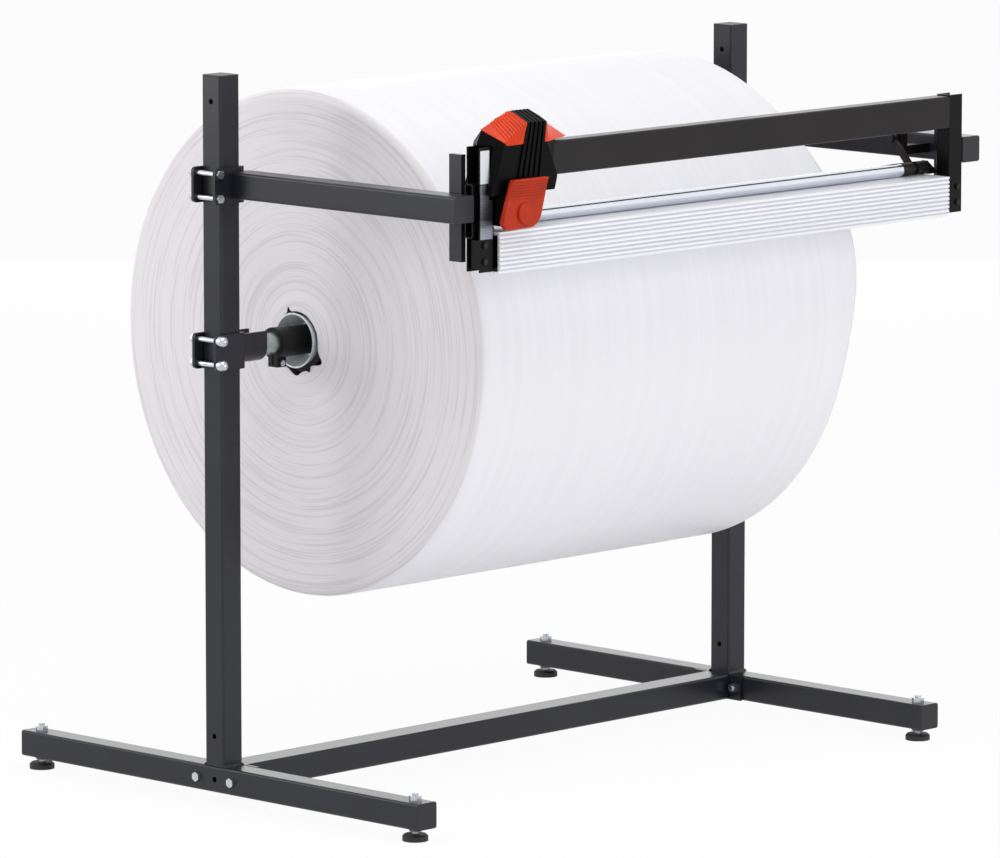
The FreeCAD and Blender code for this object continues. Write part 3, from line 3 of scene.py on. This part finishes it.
import bpy
import numpy as np
from mathutils import Euler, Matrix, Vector


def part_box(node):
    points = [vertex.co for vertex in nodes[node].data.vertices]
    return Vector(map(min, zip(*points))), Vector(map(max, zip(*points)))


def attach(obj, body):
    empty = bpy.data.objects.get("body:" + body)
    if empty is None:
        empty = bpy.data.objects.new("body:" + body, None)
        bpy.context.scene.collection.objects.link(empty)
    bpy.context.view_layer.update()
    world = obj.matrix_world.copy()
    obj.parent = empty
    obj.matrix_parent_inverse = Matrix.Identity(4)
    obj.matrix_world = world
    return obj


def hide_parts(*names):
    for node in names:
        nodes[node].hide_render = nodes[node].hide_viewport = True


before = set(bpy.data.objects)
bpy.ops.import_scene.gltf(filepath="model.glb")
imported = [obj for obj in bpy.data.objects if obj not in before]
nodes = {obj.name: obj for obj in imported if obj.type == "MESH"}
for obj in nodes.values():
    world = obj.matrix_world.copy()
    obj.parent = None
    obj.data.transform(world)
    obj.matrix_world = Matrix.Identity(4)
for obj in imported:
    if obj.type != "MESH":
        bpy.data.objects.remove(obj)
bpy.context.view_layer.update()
scene = bpy.context.scene

# Camera: a long lens from the left of the operator's side, a little above the stand, which sees
# the near end of the roll and the whole cutter. Distances are in metres from the floor's middle.
UPRIGHTS_Y = 0.0515
AZIMUTH = math.radians(-45.827)
ELEVATION = math.radians(8.356)
DISTANCE = 12.0448
AIM = Vector((0.0354, UPRIGHTS_Y, 0.5064))
camera_data = bpy.data.cameras.new("camera")
camera_data.sensor_fit = "HORIZONTAL"
camera_data.sensor_width = 36.0
camera_data.lens = 279.82
camera_data.clip_end = 60.0
camera = bpy.data.objects.new("camera", camera_data)
scene.collection.objects.link(camera)
camera.rotation_euler = Euler((math.pi / 2 - ELEVATION, 0.0, AZIMUTH))
back = Vector((
    math.cos(ELEVATION) * math.sin(AZIMUTH),
    -math.cos(ELEVATION) * math.cos(AZIMUTH),
    math.sin(ELEVATION),
))
camera.location = AIM + back * DISTANCE
scene.camera = camera
scene.view_settings.view_transform = "Standard"


# Studio: a white floor that runs out of sight and a white surround, which metal and film also
# see. A large soft light hangs above, a small one stands near the roll's end, and two stand far
# off, one in front and a weaker one behind.
def linear(colour, shade=1.0):
    """The linear colour of an sRGB hex value such as 'C0FFEE', times a shade."""
    parts = [int(colour[i:i + 2], 16) / 255 for i in (0, 2, 4)]
    parts = [c / 12.92 if c <= 0.04045 else ((c + 0.055) / 1.055) ** 2.4 for c in parts]
    return [min(c * shade, 1.0) for c in parts] + [1.0]


def add(tree, kind, links=(), stops=(), **settings):
    """Add a node of one kind to a node tree. Settings name a property or, with an underscore for
    each space, an input socket. links has pairs of an output socket or a fixed value and an
    input's name or number; stops has a colour ramp's pairs of position and linear colour."""
    node = tree.nodes.new("ShaderNode" + kind)
    for name, value in settings.items():
        if hasattr(node, name):
            setattr(node, name, value)
        else:
            node.inputs[name.replace("_", " ")].default_value = value
    for source, target in links:
        if isinstance(source, bpy.types.NodeSocket):
            tree.links.new(source, node.inputs[target])
        else:
            node.inputs[target].default_value = source
    if stops:
        ramp = node.color_ramp.elements
        for number, (position, colour) in enumerate((stops[0], stops[-1])):
            ramp[number].position = position
            ramp[number].color = colour
        for position, colour in stops[1:-1]:
            ramp.new(position).color = colour
    return node


def new_material(name):
    """An empty material and its node tree, output node included."""
    made = bpy.data.materials.new(name)
    made.use_nodes = True
    made.node_tree.nodes.clear()
    return made, made.node_tree


def finish_with(tree, shader):
    """Send a shader node to the material's output."""
    add(tree, "OutputMaterial", [(shader.outputs[0], "Surface")])


def asked_by(tree, *rays):
    """One where a ray of the named kinds asks, and nothing for the rest."""
    path = add(tree, "LightPath")
    asked = path.outputs[rays[0]]
    for ray in rays[1:]:
        asked = add(tree, "Math", [(asked, 0), (path.outputs[ray], 1)],
                    operation="MAXIMUM").outputs[0]
    return asked


def mesh_object(name, points, faces):
    """A smooth mesh object from arrays of points and faces."""
    mesh = bpy.data.meshes.new(name)
    mesh.from_pydata(np.asarray(points, float).reshape(-1, 3).tolist(), [],
                     np.asarray(faces, int).tolist())
    mesh.polygons.foreach_set("use_smooth", [True] * len(mesh.polygons))
    mesh.update()
    made = bpy.data.objects.new(name, mesh)
    scene.collection.objects.link(made)
    return made


FLOOR_HALF = 30.0
FLOOR_GLOW = 0.94
SURROUND_LIGHT = 0.55
corners = FLOOR_HALF * np.array([(-1, -1, 0), (1, -1, 0), (1, 1, 0), (-1, 1, 0)])
floor = mesh_object("floor", corners, [(0, 1, 2, 3)])
floor_finish, tree = new_material("matte_white_floor")
seen = asked_by(tree, "Is Camera Ray", "Is Glossy Ray", "Is Transmission Ray")
share = add(tree, "Math", [(seen, 0), (FLOOR_GLOW, 1)], operation="MULTIPLY")
diffuse = add(tree, "BsdfDiffuse", Color=linear("F4F4F6"))
glow = add(tree, "Emission", Color=linear("FFFFFF"), Strength=1.0)
finish_with(tree, add(tree, "MixShader", [(share.outputs[0], 0), (diffuse.outputs[0], 1),
                                          (glow.outputs[0], 2)]))
floor.data.materials.append(floor_finish)

world = bpy.data.worlds.new("white_surround")
scene.world = world
world.use_nodes = True
tree = world.node_tree
tree.nodes.clear()
seen = asked_by(tree, "Is Camera Ray", "Is Glossy Ray")
plain = add(tree, "Background", Color=linear("FFFFFF"), Strength=SURROUND_LIGHT)
white = add(tree, "Background", Color=linear("FFFFFF"), Strength=1.0)
mixed = add(tree, "MixShader", [(seen, 0), (plain.outputs[0], 1), (white.outputs[0], 2)])
add(tree, "OutputWorld", [(mixed.outputs[0], "Surface")])


def soft_light(name, place, aim, size, power):
    """A square area light at one place that points at another and isn't seen itself."""
    data = bpy.data.lights.new(name, "AREA")
    data.size = size
    data.energy = power
    made = bpy.data.objects.new(name, data)
    scene.collection.objects.link(made)
    made.visible_camera = False
    made.location = place
    made.rotation_euler = (Vector(aim) - Vector(place)).to_track_quat("-Z", "Y").to_euler()


soft_light("light_above", (-1.0, -1.4, 4.2), (0.0, 0.0, 0.6), 3.0, 68)
soft_light("light_left", (-2.4, 1.7, 1.5), (-0.4, 0.1, 0.7), 1.4, 18)
soft_light("light_front", (1.0, -4.6, 1.6), (0.0, 0.0, 0.6), 2.5, 50)
soft_light("light_back", (4.3, 4.2, 1.5), (0.0, 0.0, 0.6), 3.0, 26)


# Feet, uprights, cross beam, cradles and arms: welded square steel tube and plate with a slate
# powder coat. The coat has a fine orange peel, which shows as a soft, slightly broken gloss.
def powder_coat(name, colour, rough, shine):
    """Powder coat on steel: a baked polyester film with an orange peel of 1.4 mm, twice its real
    size so that it shows, and faint clouds about 110 mm across in its colour."""
    made, tree = new_material(name)
    place = add(tree, "TexCoord")
    peel = add(tree, "TexNoise", [(place.outputs["Object"], "Vector")], Scale=1000 / 1.4,
               Detail=2.0)
    bump = add(tree, "Bump", [(peel.outputs["Fac"], "Height")], Strength=0.2, Distance=0.0002)
    cloud = add(tree, "TexNoise", [(place.outputs["Object"], "Vector")], Scale=9.0, Detail=3.0)
    tone = add(tree, "ValToRGB", [(cloud.outputs["Fac"], 0)],
               [(0.35, linear(colour, 0.86)), (0.65, linear(colour, 1.12))])
    finish_with(tree, add(tree, "BsdfPrincipled",
                          [(tone.outputs["Color"], "Base Color"),
                           (bump.outputs["Normal"], "Normal")],
                          Roughness=rough, IOR=1.5, Specular_IOR_Level=shine))
    return made


def coat(made, *names):
    """Give CAD nodes one material in all their slots."""
    for name in names:
        mesh = nodes[name].data
        mesh.materials.clear()
        mesh.materials.append(made)


coat(powder_coat("slate_powder_coat", "202128", 0.3, 0.36),
     "left_foot_tube", "right_foot_tube", "left_upright", "right_upright", "cross_beam",
     "left_cradle", "right_cradle", "left_arm", "right_arm", "arm_plates")


# End caps of feet, uprights and arms: pushed-in polyethylene in the frame's slate colour, duller
# than the coat, with the fine grain of a spark-eroded mould.
def grained(name, colour, rough, grain_mm=0.9, shine=0.5):
    """Moulded plastic, board or blackened steel: a fine grain, and scuffs about 17 mm across in
    its colour and gloss."""
    made, tree = new_material(name)
    place = add(tree, "TexCoord")
    grain = add(tree, "TexNoise", [(place.outputs["Object"], "Vector")],
                Scale=1000 / grain_mm, Detail=3.0)
    bump = add(tree, "Bump", [(grain.outputs["Fac"], "Height")], Strength=0.2, Distance=0.0001)
    scuff = add(tree, "TexNoise", [(place.outputs["Object"], "Vector")], Scale=60.0, Detail=4.0)
    worn = add(tree, "MapRange", [(scuff.outputs["Fac"], "Value")], To_Min=rough - 0.06,
               To_Max=rough + 0.08)
    tone = add(tree, "ValToRGB", [(scuff.outputs["Fac"], 0)],
               [(0.3, linear(colour, 0.88)), (0.7, linear(colour, 1.1))])
    finish_with(tree, add(tree, "BsdfPrincipled",
                          [(worn.outputs[0], "Roughness"), (tone.outputs["Color"], "Base Color"),
                           (bump.outputs["Normal"], "Normal")],
                          IOR=1.5, Specular_IOR_Level=shine))
    return made


coat(grained("moulded_slate_polyethylene", "26262A", 0.45, shine=0.35),
     "foot_end_caps", "upright_caps", "arm_end_caps")

# Levelling pads: black polyamide discs at the lower ends of their studs, duller than the caps
# because they take the floor's dust.
coat(grained("dusty_black_polyamide", "19191B", 0.6),
     *[n for n in nodes if n.startswith("levelling_pad")])


# Bolts, nuts and studs: zinc-plated steel, pale and bluish with faint cloudy passivation. They
# hold the clamps, the cross beam and the feet.
def plated(name, colour, rough, clouds_per_metre=180.0, metal=1.0, dull=0.8):
    """A plated or drawn metal: clouds in its colour, down to the dull share, and in its gloss."""
    made, tree = new_material(name)
    place = add(tree, "TexCoord")
    cloud = add(tree, "TexNoise", [(place.outputs["Object"], "Vector")], Scale=clouds_per_metre,
                Detail=4.0)
    tone = add(tree, "ValToRGB", [(cloud.outputs["Fac"], 0)],
               [(0.3, linear(colour, dull)), (0.7, linear(colour))])
    worn = add(tree, "MapRange", [(cloud.outputs["Fac"], "Value")], To_Min=rough - 0.08,
               To_Max=rough + 0.1)
    finish_with(tree, add(tree, "BsdfPrincipled", [(tone.outputs["Color"], "Base Color"),
                                                   (worn.outputs[0], "Roughness")],
                          Metallic=metal))
    return made


coat(plated("zinc_plated_steel", "CDD2D8", 0.28), "cross_beam_bolts", "cross_beam_nuts",
     "levelling_top_nuts", "left_cradle_bolts", "left_cradle_nuts", "right_cradle_bolts",
     "right_cradle_nuts", "collar_screws", "arm_clamp_bolts", "arm_clamp_nuts",
     *[n for n in nodes if n.startswith("levelling_stud")])

# Lock nuts under the feet: the same plated nuts in a darker copy of their colour, which is painted
# shade for the shade of the tube above them, and the floor's dust.
coat(plated("dusty_and_shade_painted_zinc_plated_steel", "6C6E73", 0.45), "levelling_lock_nuts")

# Axle: a drawn steel tube that lies in the two open cradles, with a light grey lacquer film
# that takes off some of the steel's shine.
coat(plated("lacquered_steel_tube", "BCC6C4", 0.35), "axle")

# Collars and bearing hubs: moulded black polyamide. The hubs turn on the axle inside the cones,
# and the split collars outside them keep the cones in the core's ends.
coat(grained("moulded_black_polyamide", "0B0A0A", 0.36, shine=0.22), "axle_collars", "bearing_hubs")

# Cones in the core's ends: spun sheet with a thick blue-white passivation, which is more a pale
# powder than a mirror, so that the hollow inside stays light.
coat(plated("blue_passivated_zinc", "EEF5F8", 0.32, metal=0.2), "core_cones")

# Core: a tube of wound grey board that sits on the cones. Only its ends can be seen, in the film's
# hole, and the board's colour is painted near black as painted shade for the shade of that hole.
coat(grained("wound_grey_board_painted_shade", "2B2826", 0.85, grain_mm=2.0), "cardboard_core")

# Wound film: white foam film in hundreds of turns on the core. The turns' edges make soft rings
# on both ends, the first turns stand off the core in an uneven hole, and the last turn ends in a
# straight edge at the back.
FILM_LOW, FILM_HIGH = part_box("wrap_roll")
FILM_RADIUS = (FILM_HIGH.z - FILM_LOW.z) / 2
FILM_SAG = 0.002  # the turns hang this much low on their core
FILM_BELLY = 0.006  # and swell by this much underneath
FILM_Y = (FILM_LOW.y + FILM_HIGH.y) / 2
FILM_Z = (FILM_LOW.z + FILM_HIGH.z) / 2 - FILM_SAG
FILM_BORE = 0.0483  # radius on the core
FILM_HOLE = 0.0455  # radius of the hole in the first turns that lie over the core's end
LIP_OUT, LIP_WIDE = 0.0085, 0.022  # how far those turns stand out, and over which radius
FUNNEL_DEEP, FUNNEL_STRAIGHT = 0.034, 0.16  # the hole's depth, and its share before it widens
RIM_ROUND = 0.014  # rounding of the roll's rims
LAST_TURN, LAST_TURN_AT = 0.0012, 0.55  # the last turn's thickness, and the angle of its end
FAR_DRAWN_IN = 0.024  # how far the outer turns lie in at the far end
STANDS_OUT = (math.radians(163), 0.34, 1.25)  # angle, half width and share of their exception
TORN = [(math.radians(210), 0.20, 0.0125), (math.radians(238), 0.10, 0.006),
        (math.radians(272), 0.22, 0.0065), (math.radians(69), 0.07, 0.008)]  # the same, in depth
COLUMNS = 288
FILM_ANGLES = np.arange(COLUMNS) * 2 * np.pi / COLUMNS
draw = np.random.default_rng(11)


def wavy(along, strengths):
    """A smooth uneven line: the sum over k of strength k times cos(k along + a drawn phase)."""
    steps = np.arange(1, len(strengths) + 1)
    phases = draw.uniform(0, 2 * np.pi, len(strengths))
    return (np.cos(along[..., None] * steps + phases) * strengths).sum(-1)


def bell(value, middle, wide):
    """One at the middle, fading to nothing on both sides: exp(-((value - middle) / wide)^2)."""
    return np.exp(-((value - middle) / wide) ** 2)


def ring_relief(radius, angle, rings=64):
    """How far a wound end stands out in metres: a sum of rings of turns, each a bell over the
    radius with a drawn place, width and height, which swells and fades once round the roll."""
    middle = draw.uniform(FILM_HOLE, FILM_RADIUS, rings)
    width = draw.uniform(0.0035, 0.009, rings)
    height = draw.normal(0.0, 0.00017, rings)
    turn = draw.uniform(0, 2 * np.pi, rings)
    swell = 0.5 + 0.5 * np.cos(angle[..., None] - turn)
    return (height * bell(radius[..., None], middle, width) * swell).sum(-1)


def outer_radius(angle):
    """The outer turn's radius: the roll's, less one film's thickness that grows evenly round the
    roll to the last turn's end, plus a belly in its lower half as the sine squared."""
    missing = 1 - np.mod(angle - LAST_TURN_AT, 2 * np.pi) / (2 * np.pi)
    hangs = np.clip(-np.sin(angle), 0, 1) ** 2
    return FILM_RADIUS - LAST_TURN * missing + FILM_BELLY * hangs


def film_end(plane, outwards, rows):
    """Rows (x, radius) of one end from its rim to the bore, on (row, angle): a ring with the
    relief of its turns that swells to a lip over the core's end, as a bell over the radius, then
    a funnel whose radius goes from the hole's torn edge to the bore as the depth's root."""
    hole = FILM_HOLE + np.abs(wavy(FILM_ANGLES * 4, np.array([3, 2, 3, 2, 1]) / 10000))
    for place, wide, depth in TORN:
        hole = hole + depth * bell(FILM_ANGLES, place, wide)
    rim = outer_radius(FILM_ANGLES) - RIM_ROUND
    share = np.linspace(0, 1, rows)[:, None]
    radius = rim + (hole - rim) * share
    fade_in = np.clip(share * 12, 0, 1)
    stand = ring_relief(radius, np.broadcast_to(FILM_ANGLES, radius.shape)) * fade_in
    stand = stand + LIP_OUT * bell(radius, FILM_HOLE, LIP_WIDE)
    face = (plane + outwards * stand, radius)
    deep = np.linspace(0, 1, 8)[1:, None] ** 2
    widens = np.clip((deep - FUNNEL_STRAIGHT) / (1 - FUNNEL_STRAIGHT), 0, 1) ** 0.5
    funnel = (face[0][-1] - outwards * (FUNNEL_DEEP + LIP_OUT) * deep,
              hole + (FILM_BORE - hole) * widens)
    return face, funnel


def drawn_in(x, radius, angle):
    """How far turns lie in from the far end's plane: nothing up to the roll's middle, then a
    share that grows with length and radius, less a bell in front where they stand out again."""
    along = np.clip((x - FILM_LOW.x) / (FILM_HIGH.x - FILM_LOW.x) * 2 - 1, 0, 1)
    place, wide, strength = STANDS_OUT
    here = 1 - strength * bell(angle, place, wide)
    return FAR_DRAWN_IN * here * along * (radius / FILM_RADIUS) ** 2


def film_body(rows):
    """Rows (x, radius) of the outer turn with its rounded rims, from the near to the far end:
    radius = full radius less the rim's rounding and soft lanes that run round the roll."""
    bend = np.linspace(0, np.pi / 2, 6)[1:-1]
    near = FILM_LOW.x + RIM_ROUND * (1 - np.sin(bend))
    flat = np.linspace(FILM_LOW.x + RIM_ROUND, FILM_HIGH.x - RIM_ROUND, rows)
    x = np.concatenate([near[::-1], flat, FILM_LOW.x + FILM_HIGH.x - near])
    rounding = RIM_ROUND * (1 - np.cos(bend))
    drop = np.concatenate([rounding[::-1], 0 * flat, rounding])
    lanes = 0.0003 + wavy(x * 12, np.array([1.4, 1.0, 0.9, 0.7, 0.5, 0.4]) / 16000)
    radius = outer_radius(FILM_ANGLES) - (drop + np.abs(lanes))[:, None]
    return np.broadcast_to(x[:, None], radius.shape), radius


near_face, near_funnel = film_end(FILM_LOW.x, -1, 130)
far_face, far_funnel = film_end(FILM_HIGH.x, 1, 84)
film_rows = [near_face, near_funnel, [part[::-1] for part in far_funnel],
             [part[::-1] for part in far_face], [part[::-1] for part in film_body(30)]]
film_x = np.vstack([rows[0] for rows in film_rows])
film_r = np.vstack([rows[1] for rows in film_rows])
film_x = film_x - drawn_in(film_x, film_r, FILM_ANGLES)
film_points = np.stack([film_x, FILM_Y + film_r * np.cos(FILM_ANGLES),
                        FILM_Z + film_r * np.sin(FILM_ANGLES)], axis=-1)
grid = np.arange(film_x.size).reshape(film_x.shape)
after = np.roll(grid, -1, axis=0)
film_faces = np.stack([grid, np.roll(grid, -1, axis=1), np.roll(after, -1, axis=1), after],
                      axis=-1).reshape(-1, 4)
film = mesh_object("wound_film", film_points, film_faces)


def turns_noise(tree, place, across_mm, along_mm, detail=2.0):
    """Noise in rings about the roll's axis: it changes every across_mm outwards and every
    along_mm round the roll."""
    centred = add(tree, "VectorMath", [(place.outputs["Object"], 0), ((0, FILM_Y, FILM_Z), 1)],
                  operation="SUBTRACT")
    flat = add(tree, "VectorMath", [(centred.outputs[0], 0), ((0, 1, 1), 1)],
               operation="MULTIPLY")
    radius = add(tree, "VectorMath", [(flat.outputs[0], 0)], operation="LENGTH")
    out = add(tree, "Math", [(radius.outputs["Value"], 0), (1000 / across_mm, 1)],
              operation="MULTIPLY")
    ring = add(tree, "CombineXYZ", [(out.outputs[0], "X")])
    slow = add(tree, "VectorMath", [(flat.outputs[0], 0), (1000 / along_mm, "Scale")],
               operation="SCALE")
    both = add(tree, "VectorMath", [(ring.outputs[0], 0), (slow.outputs[0], 1)], operation="ADD")
    return add(tree, "TexNoise", [(both.outputs[0], "Vector")], Scale=1.0, Detail=detail)


def film_edges(name, dark, light):
    """Edges of foam film: rings of turns that lie a little in or out, drawn 5.5 mm and 2.2 mm
    apart, coarser than the real 0.5 mm film so that they show."""
    made, tree = new_material(name)
    place = add(tree, "TexCoord")
    broad = turns_noise(tree, place, 5.5, 240.0, 3.0)
    fine = turns_noise(tree, place, 2.2, 160.0)
    both = add(tree, "Math", [(broad.outputs["Fac"], 0), (fine.outputs["Fac"], 1)],
               operation="ADD")
    tone = add(tree, "ValToRGB", [(both.outputs[0], 0)],
               [(0.8, linear(dark)), (1.4, linear(light))])
    tone.color_ramp.interpolation = "EASE"
    bump = add(tree, "Bump", [(both.outputs[0], "Height")], Strength=0.2, Distance=0.0005)
    finish_with(tree, add(tree, "BsdfPrincipled",
                          [(tone.outputs["Color"], "Base Color"),
                           (bump.outputs["Normal"], "Normal")],
                          Roughness=0.62, IOR=1.45, Specular_IOR_Level=0.3))
    return made


def outer_turn(name, dark, light):
    """The outer turn of foam film: satin, with faint lines round the roll every 9 mm where the
    turns beneath press through, and a fine cell pattern of 2 mm."""
    made, tree = new_material(name)
    place = add(tree, "TexCoord")
    lines = add(tree, "Mapping", [(place.outputs["Object"], "Vector")],
                Scale=(1000 / 9, 1.5, 1.5))
    lane = add(tree, "TexNoise", [(lines.outputs[0], "Vector")], Scale=1.0, Detail=3.0)
    cells = add(tree, "TexNoise", [(place.outputs["Object"], "Vector")], Scale=1000 / 2,
                Detail=2.0)
    height = add(tree, "Math", [(lane.outputs["Fac"], 0), (cells.outputs["Fac"], 1)],
                 operation="MULTIPLY")
    tone = add(tree, "ValToRGB", [(lane.outputs["Fac"], 0)],
               [(0.35, linear(dark)), (0.65, linear(light))])
    bump = add(tree, "Bump", [(height.outputs[0], "Height")], Strength=0.12, Distance=0.0003)
    finish_with(tree, add(tree, "BsdfPrincipled",
                          [(tone.outputs["Color"], "Base Color"),
                           (bump.outputs["Normal"], "Normal")],
                          Roughness=0.45, IOR=1.45, Specular_IOR_Level=0.4))
    return made


EDGES, SHADE_PAINTED_TURNS, OUTER_TURN = 0, 1, 2
# The ends show the real rings of turns, and their tone is painted greyer than the outer turn's as
# painted shade for the ends facing away from the main light.
film.data.materials.append(film_edges("foam_film_edges_with_painted_shade", "DFDADE", "EDEAEC"))
# The first turns in the hole are the white film painted near black: painted shade for the dark
# hole.
film.data.materials.append(film_edges("painted_shade_first_turns", "2E2C2E", "4A484A"))
film.data.materials.append(outer_turn("foam_film_outer_turn", "F0F0F4", "F3F3F7"))
near_rows, funnel_rows, far_rows = len(near_face[0]), len(near_funnel[0]), len(far_face[0])
rim_rows = 3  # rows of each rounded rim that still show the turns' edges
body_rows = len(film_x) - near_rows - far_rows - 2 * funnel_rows - 2 * rim_rows
row_finish = np.repeat([EDGES, SHADE_PAINTED_TURNS, EDGES, OUTER_TURN, EDGES],
                       [near_rows, 2 * funnel_rows, far_rows + rim_rows, body_rows, rim_rows])
film.data.polygons.foreach_set("material_index", np.repeat(row_finish, COLUMNS))
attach(film, "roll")
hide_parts("wrap_roll")

# Cutter frame: folded sheet cheeks and rectangular tube in a black-brown powder coat, and
# blackened screws and pins. The near cheek's front has two bare foil fields, one white and one
# of brushed silver in two widths.
coat(powder_coat("black_brown_powder_coat", "181415", 0.34, 0.24),
     "guide_beam", "bar_brackets", "bar_levers")
CHEEK_COAT, CHEEK_ROUGH, CHEEK_SHINE = "0B0A0A", 0.3, 0.13
coat(powder_coat("black_cheek_coat", CHEEK_COAT, CHEEK_ROUGH, CHEEK_SHINE),
     "right_cheek", "rail_spigots", "cheek_blocks")
coat(grained("blackened_steel_screws", "0C0B0B", 0.4, shine=0.3), "rail_screws", "bar_pins")
CHEEK_FRONT = UPRIGHTS_Y - 0.496
FIELD_SKIN = 0.0008  # how far behind and before the front face a field still counts
WHITE_FIELD = ((-0.5160, -0.4975), (0.9725, 1.0210))
SILVER_FIELDS = (((-0.5160, -0.4975), (0.9480, 0.9710)), ((-0.5160, -0.4905), (0.8915, 0.9480)))


def inside_field(tree, place, across, up):
    """One inside a rectangle of the cheek's front face and nothing outside it: the largest of
    the distances from its middle, each less its half size, is below zero."""
    middle = (sum(across) / 2, CHEEK_FRONT, sum(up) / 2)
    half = ((across[1] - across[0]) / 2, FIELD_SKIN, (up[1] - up[0]) / 2)
    away = add(tree, "VectorMath", [(place.outputs["Object"], 0), (middle, 1)],
               operation="SUBTRACT")
    size = add(tree, "VectorMath", [(away.outputs[0], 0)], operation="ABSOLUTE")
    over = add(tree, "VectorMath", [(size.outputs[0], 0), (half, 1)], operation="SUBTRACT")
    parts = add(tree, "SeparateXYZ", [(over.outputs[0], 0)])
    worst = add(tree, "Math", [(parts.outputs[0], 0), (parts.outputs[1], 1)], operation="MAXIMUM")
    worst = add(tree, "Math", [(worst.outputs[0], 0), (parts.outputs[2], 1)], operation="MAXIMUM")
    return add(tree, "Math", [(worst.outputs[0], 0), (0.0, 1)], operation="LESS_THAN").outputs[0]


foiled = powder_coat("black_cheek_coat_with_foil_fields", CHEEK_COAT, CHEEK_ROUGH, CHEEK_SHINE)
tree = foiled.node_tree
output = next(n for n in tree.nodes if n.bl_idname == "ShaderNodeOutputMaterial")
shader = next(n for n in tree.nodes if n.bl_idname == "ShaderNodeBsdfPrincipled")
place = add(tree, "TexCoord")
brushing = add(tree, "Mapping", [(place.outputs["Object"], "Vector")], Scale=(30, 30, 1500))
brushed = add(tree, "TexNoise", [(brushing.outputs[0], "Vector")], Scale=1.0, Detail=2.0)
tone = add(tree, "ValToRGB", [(brushed.outputs["Fac"], 0)],
           [(0.3, linear("70767F")), (0.7, linear("A2A8B1"))])
silver = add(tree, "BsdfPrincipled", [(tone.outputs["Color"], "Base Color")], Metallic=1.0,
             Roughness=0.42)
grain = add(tree, "TexNoise", [(place.outputs["Object"], "Vector")], Scale=900.0, Detail=2.0)
tone = add(tree, "ValToRGB", [(grain.outputs["Fac"], 0)],
           [(0.3, linear("DCDDE1")), (0.7, linear("E8E9ED"))])
white = add(tree, "BsdfPrincipled", [(tone.outputs["Color"], "Base Color")], Roughness=0.4)
for field, foil in [(SILVER_FIELDS[0], silver), (SILVER_FIELDS[1], silver), (WHITE_FIELD, white)]:
    shader = add(tree, "MixShader", [(inside_field(tree, place, *field), 0),
                                     (shader.outputs[0], 1), (foil.outputs[0], 2)])
tree.links.new(shader.outputs[0], output.inputs["Surface"])
coat(foiled, "left_cheek")

# Ribbed rail: extruded aluminium, clear anodised to a satin white, with the extrusion's fine lines
# along its length. The grooves between its 4 mm ribs, 6.4 mm apart, are painted grey: painted shade
# between the ribs.
RIBS_FROM = 0.9015
RIB_PITCH = 0.0064
rail_finish, tree = new_material("clear_anodised_aluminium")
place = add(tree, "TexCoord")
drawn = add(tree, "Mapping", [(place.outputs["Object"], "Vector")], Scale=(2.5, 700, 700))
lines = add(tree, "TexNoise", [(drawn.outputs[0], "Vector")], Scale=1.0, Detail=3.0)
tone = add(tree, "ValToRGB", [(lines.outputs["Fac"], 0)],
           [(0.3, linear("E6E6EC")), (0.7, linear("F6F6FA"))])
worn = add(tree, "MapRange", [(lines.outputs["Fac"], "Value")], To_Min=0.34, To_Max=0.5)
# Painted shade: each rib pitch's groove share is painted grey, from the rib's height down.
parts = add(tree, "SeparateXYZ", [(place.outputs["Object"], 0)])
down = add(tree, "Math", [(parts.outputs["Z"], 0), (-1 / RIB_PITCH, 1),
                          (RIBS_FROM / RIB_PITCH, 2)], operation="MULTIPLY_ADD")
share = add(tree, "Math", [(down.outputs[0], 0)], operation="FRACT")
RIB, PAINTED_GROOVE_SHADE = linear("FFFFFF"), linear("D9D9DE")
groove_shade_ramp = add(tree, "ValToRGB", [(share.outputs[0], 0)],
             [(0.0, RIB), (0.5, RIB), (0.66, PAINTED_GROOVE_SHADE), (0.94, PAINTED_GROOVE_SHADE), (1.0, RIB)])
tone = add(tree, "VectorMath", [(tone.outputs["Color"], 0), (groove_shade_ramp.outputs["Color"], 1)],
           operation="MULTIPLY")
finish_with(tree, add(tree, "BsdfPrincipled", [(tone.outputs[0], "Base Color"),
                                               (worn.outputs[0], "Roughness")],
                      Metallic=0.3))
coat(rail_finish, "ribbed_rail")

# Hold-down bar: chromed steel tube that mirrors the white surround and the dark beam, with black
# polyamide fittings at its ends.
coat(plated("chromed_steel_tube", "E9EDF5", 0.14, clouds_per_metre=12.0, dull=0.94),
     "pressure_bar")
coat(grained("moulded_black_fittings", "100F10", 0.38, shine=0.3), "bar_end_fittings")

# Knife carriage: a glass-filled black polyamide shell and band, ribbed grips and a head of moulded
# orange-red ABS, grey acetal shoes and a ground steel blade. Grips and head are one plastic in two
# copies: the head's orange is painted darker as painted shade, and the grips' lighter as painted
# light.
coat(grained("glass_filled_black_polyamide", "050404", 0.4, shine=0.07),
     "carriage_shell", "carriage_band", "knife_holder")
coat(grained("grey_acetal", "3A3A3C", 0.4), "glide_shoes")
# The grips' orange is painted lighter, as painted light.
coat(grained("orange_abs_painted_light_copy", "D93F19", 0.36, shine=0.22), "carriage_grips")
# The head's orange is painted darker, as painted shade.
coat(grained("orange_abs_painted_shade_copy", "B62E0D", 0.36, shine=0.2), "head_housing")
coat(plated("ground_blade_steel", "D4D6DA", 0.2), "blade")
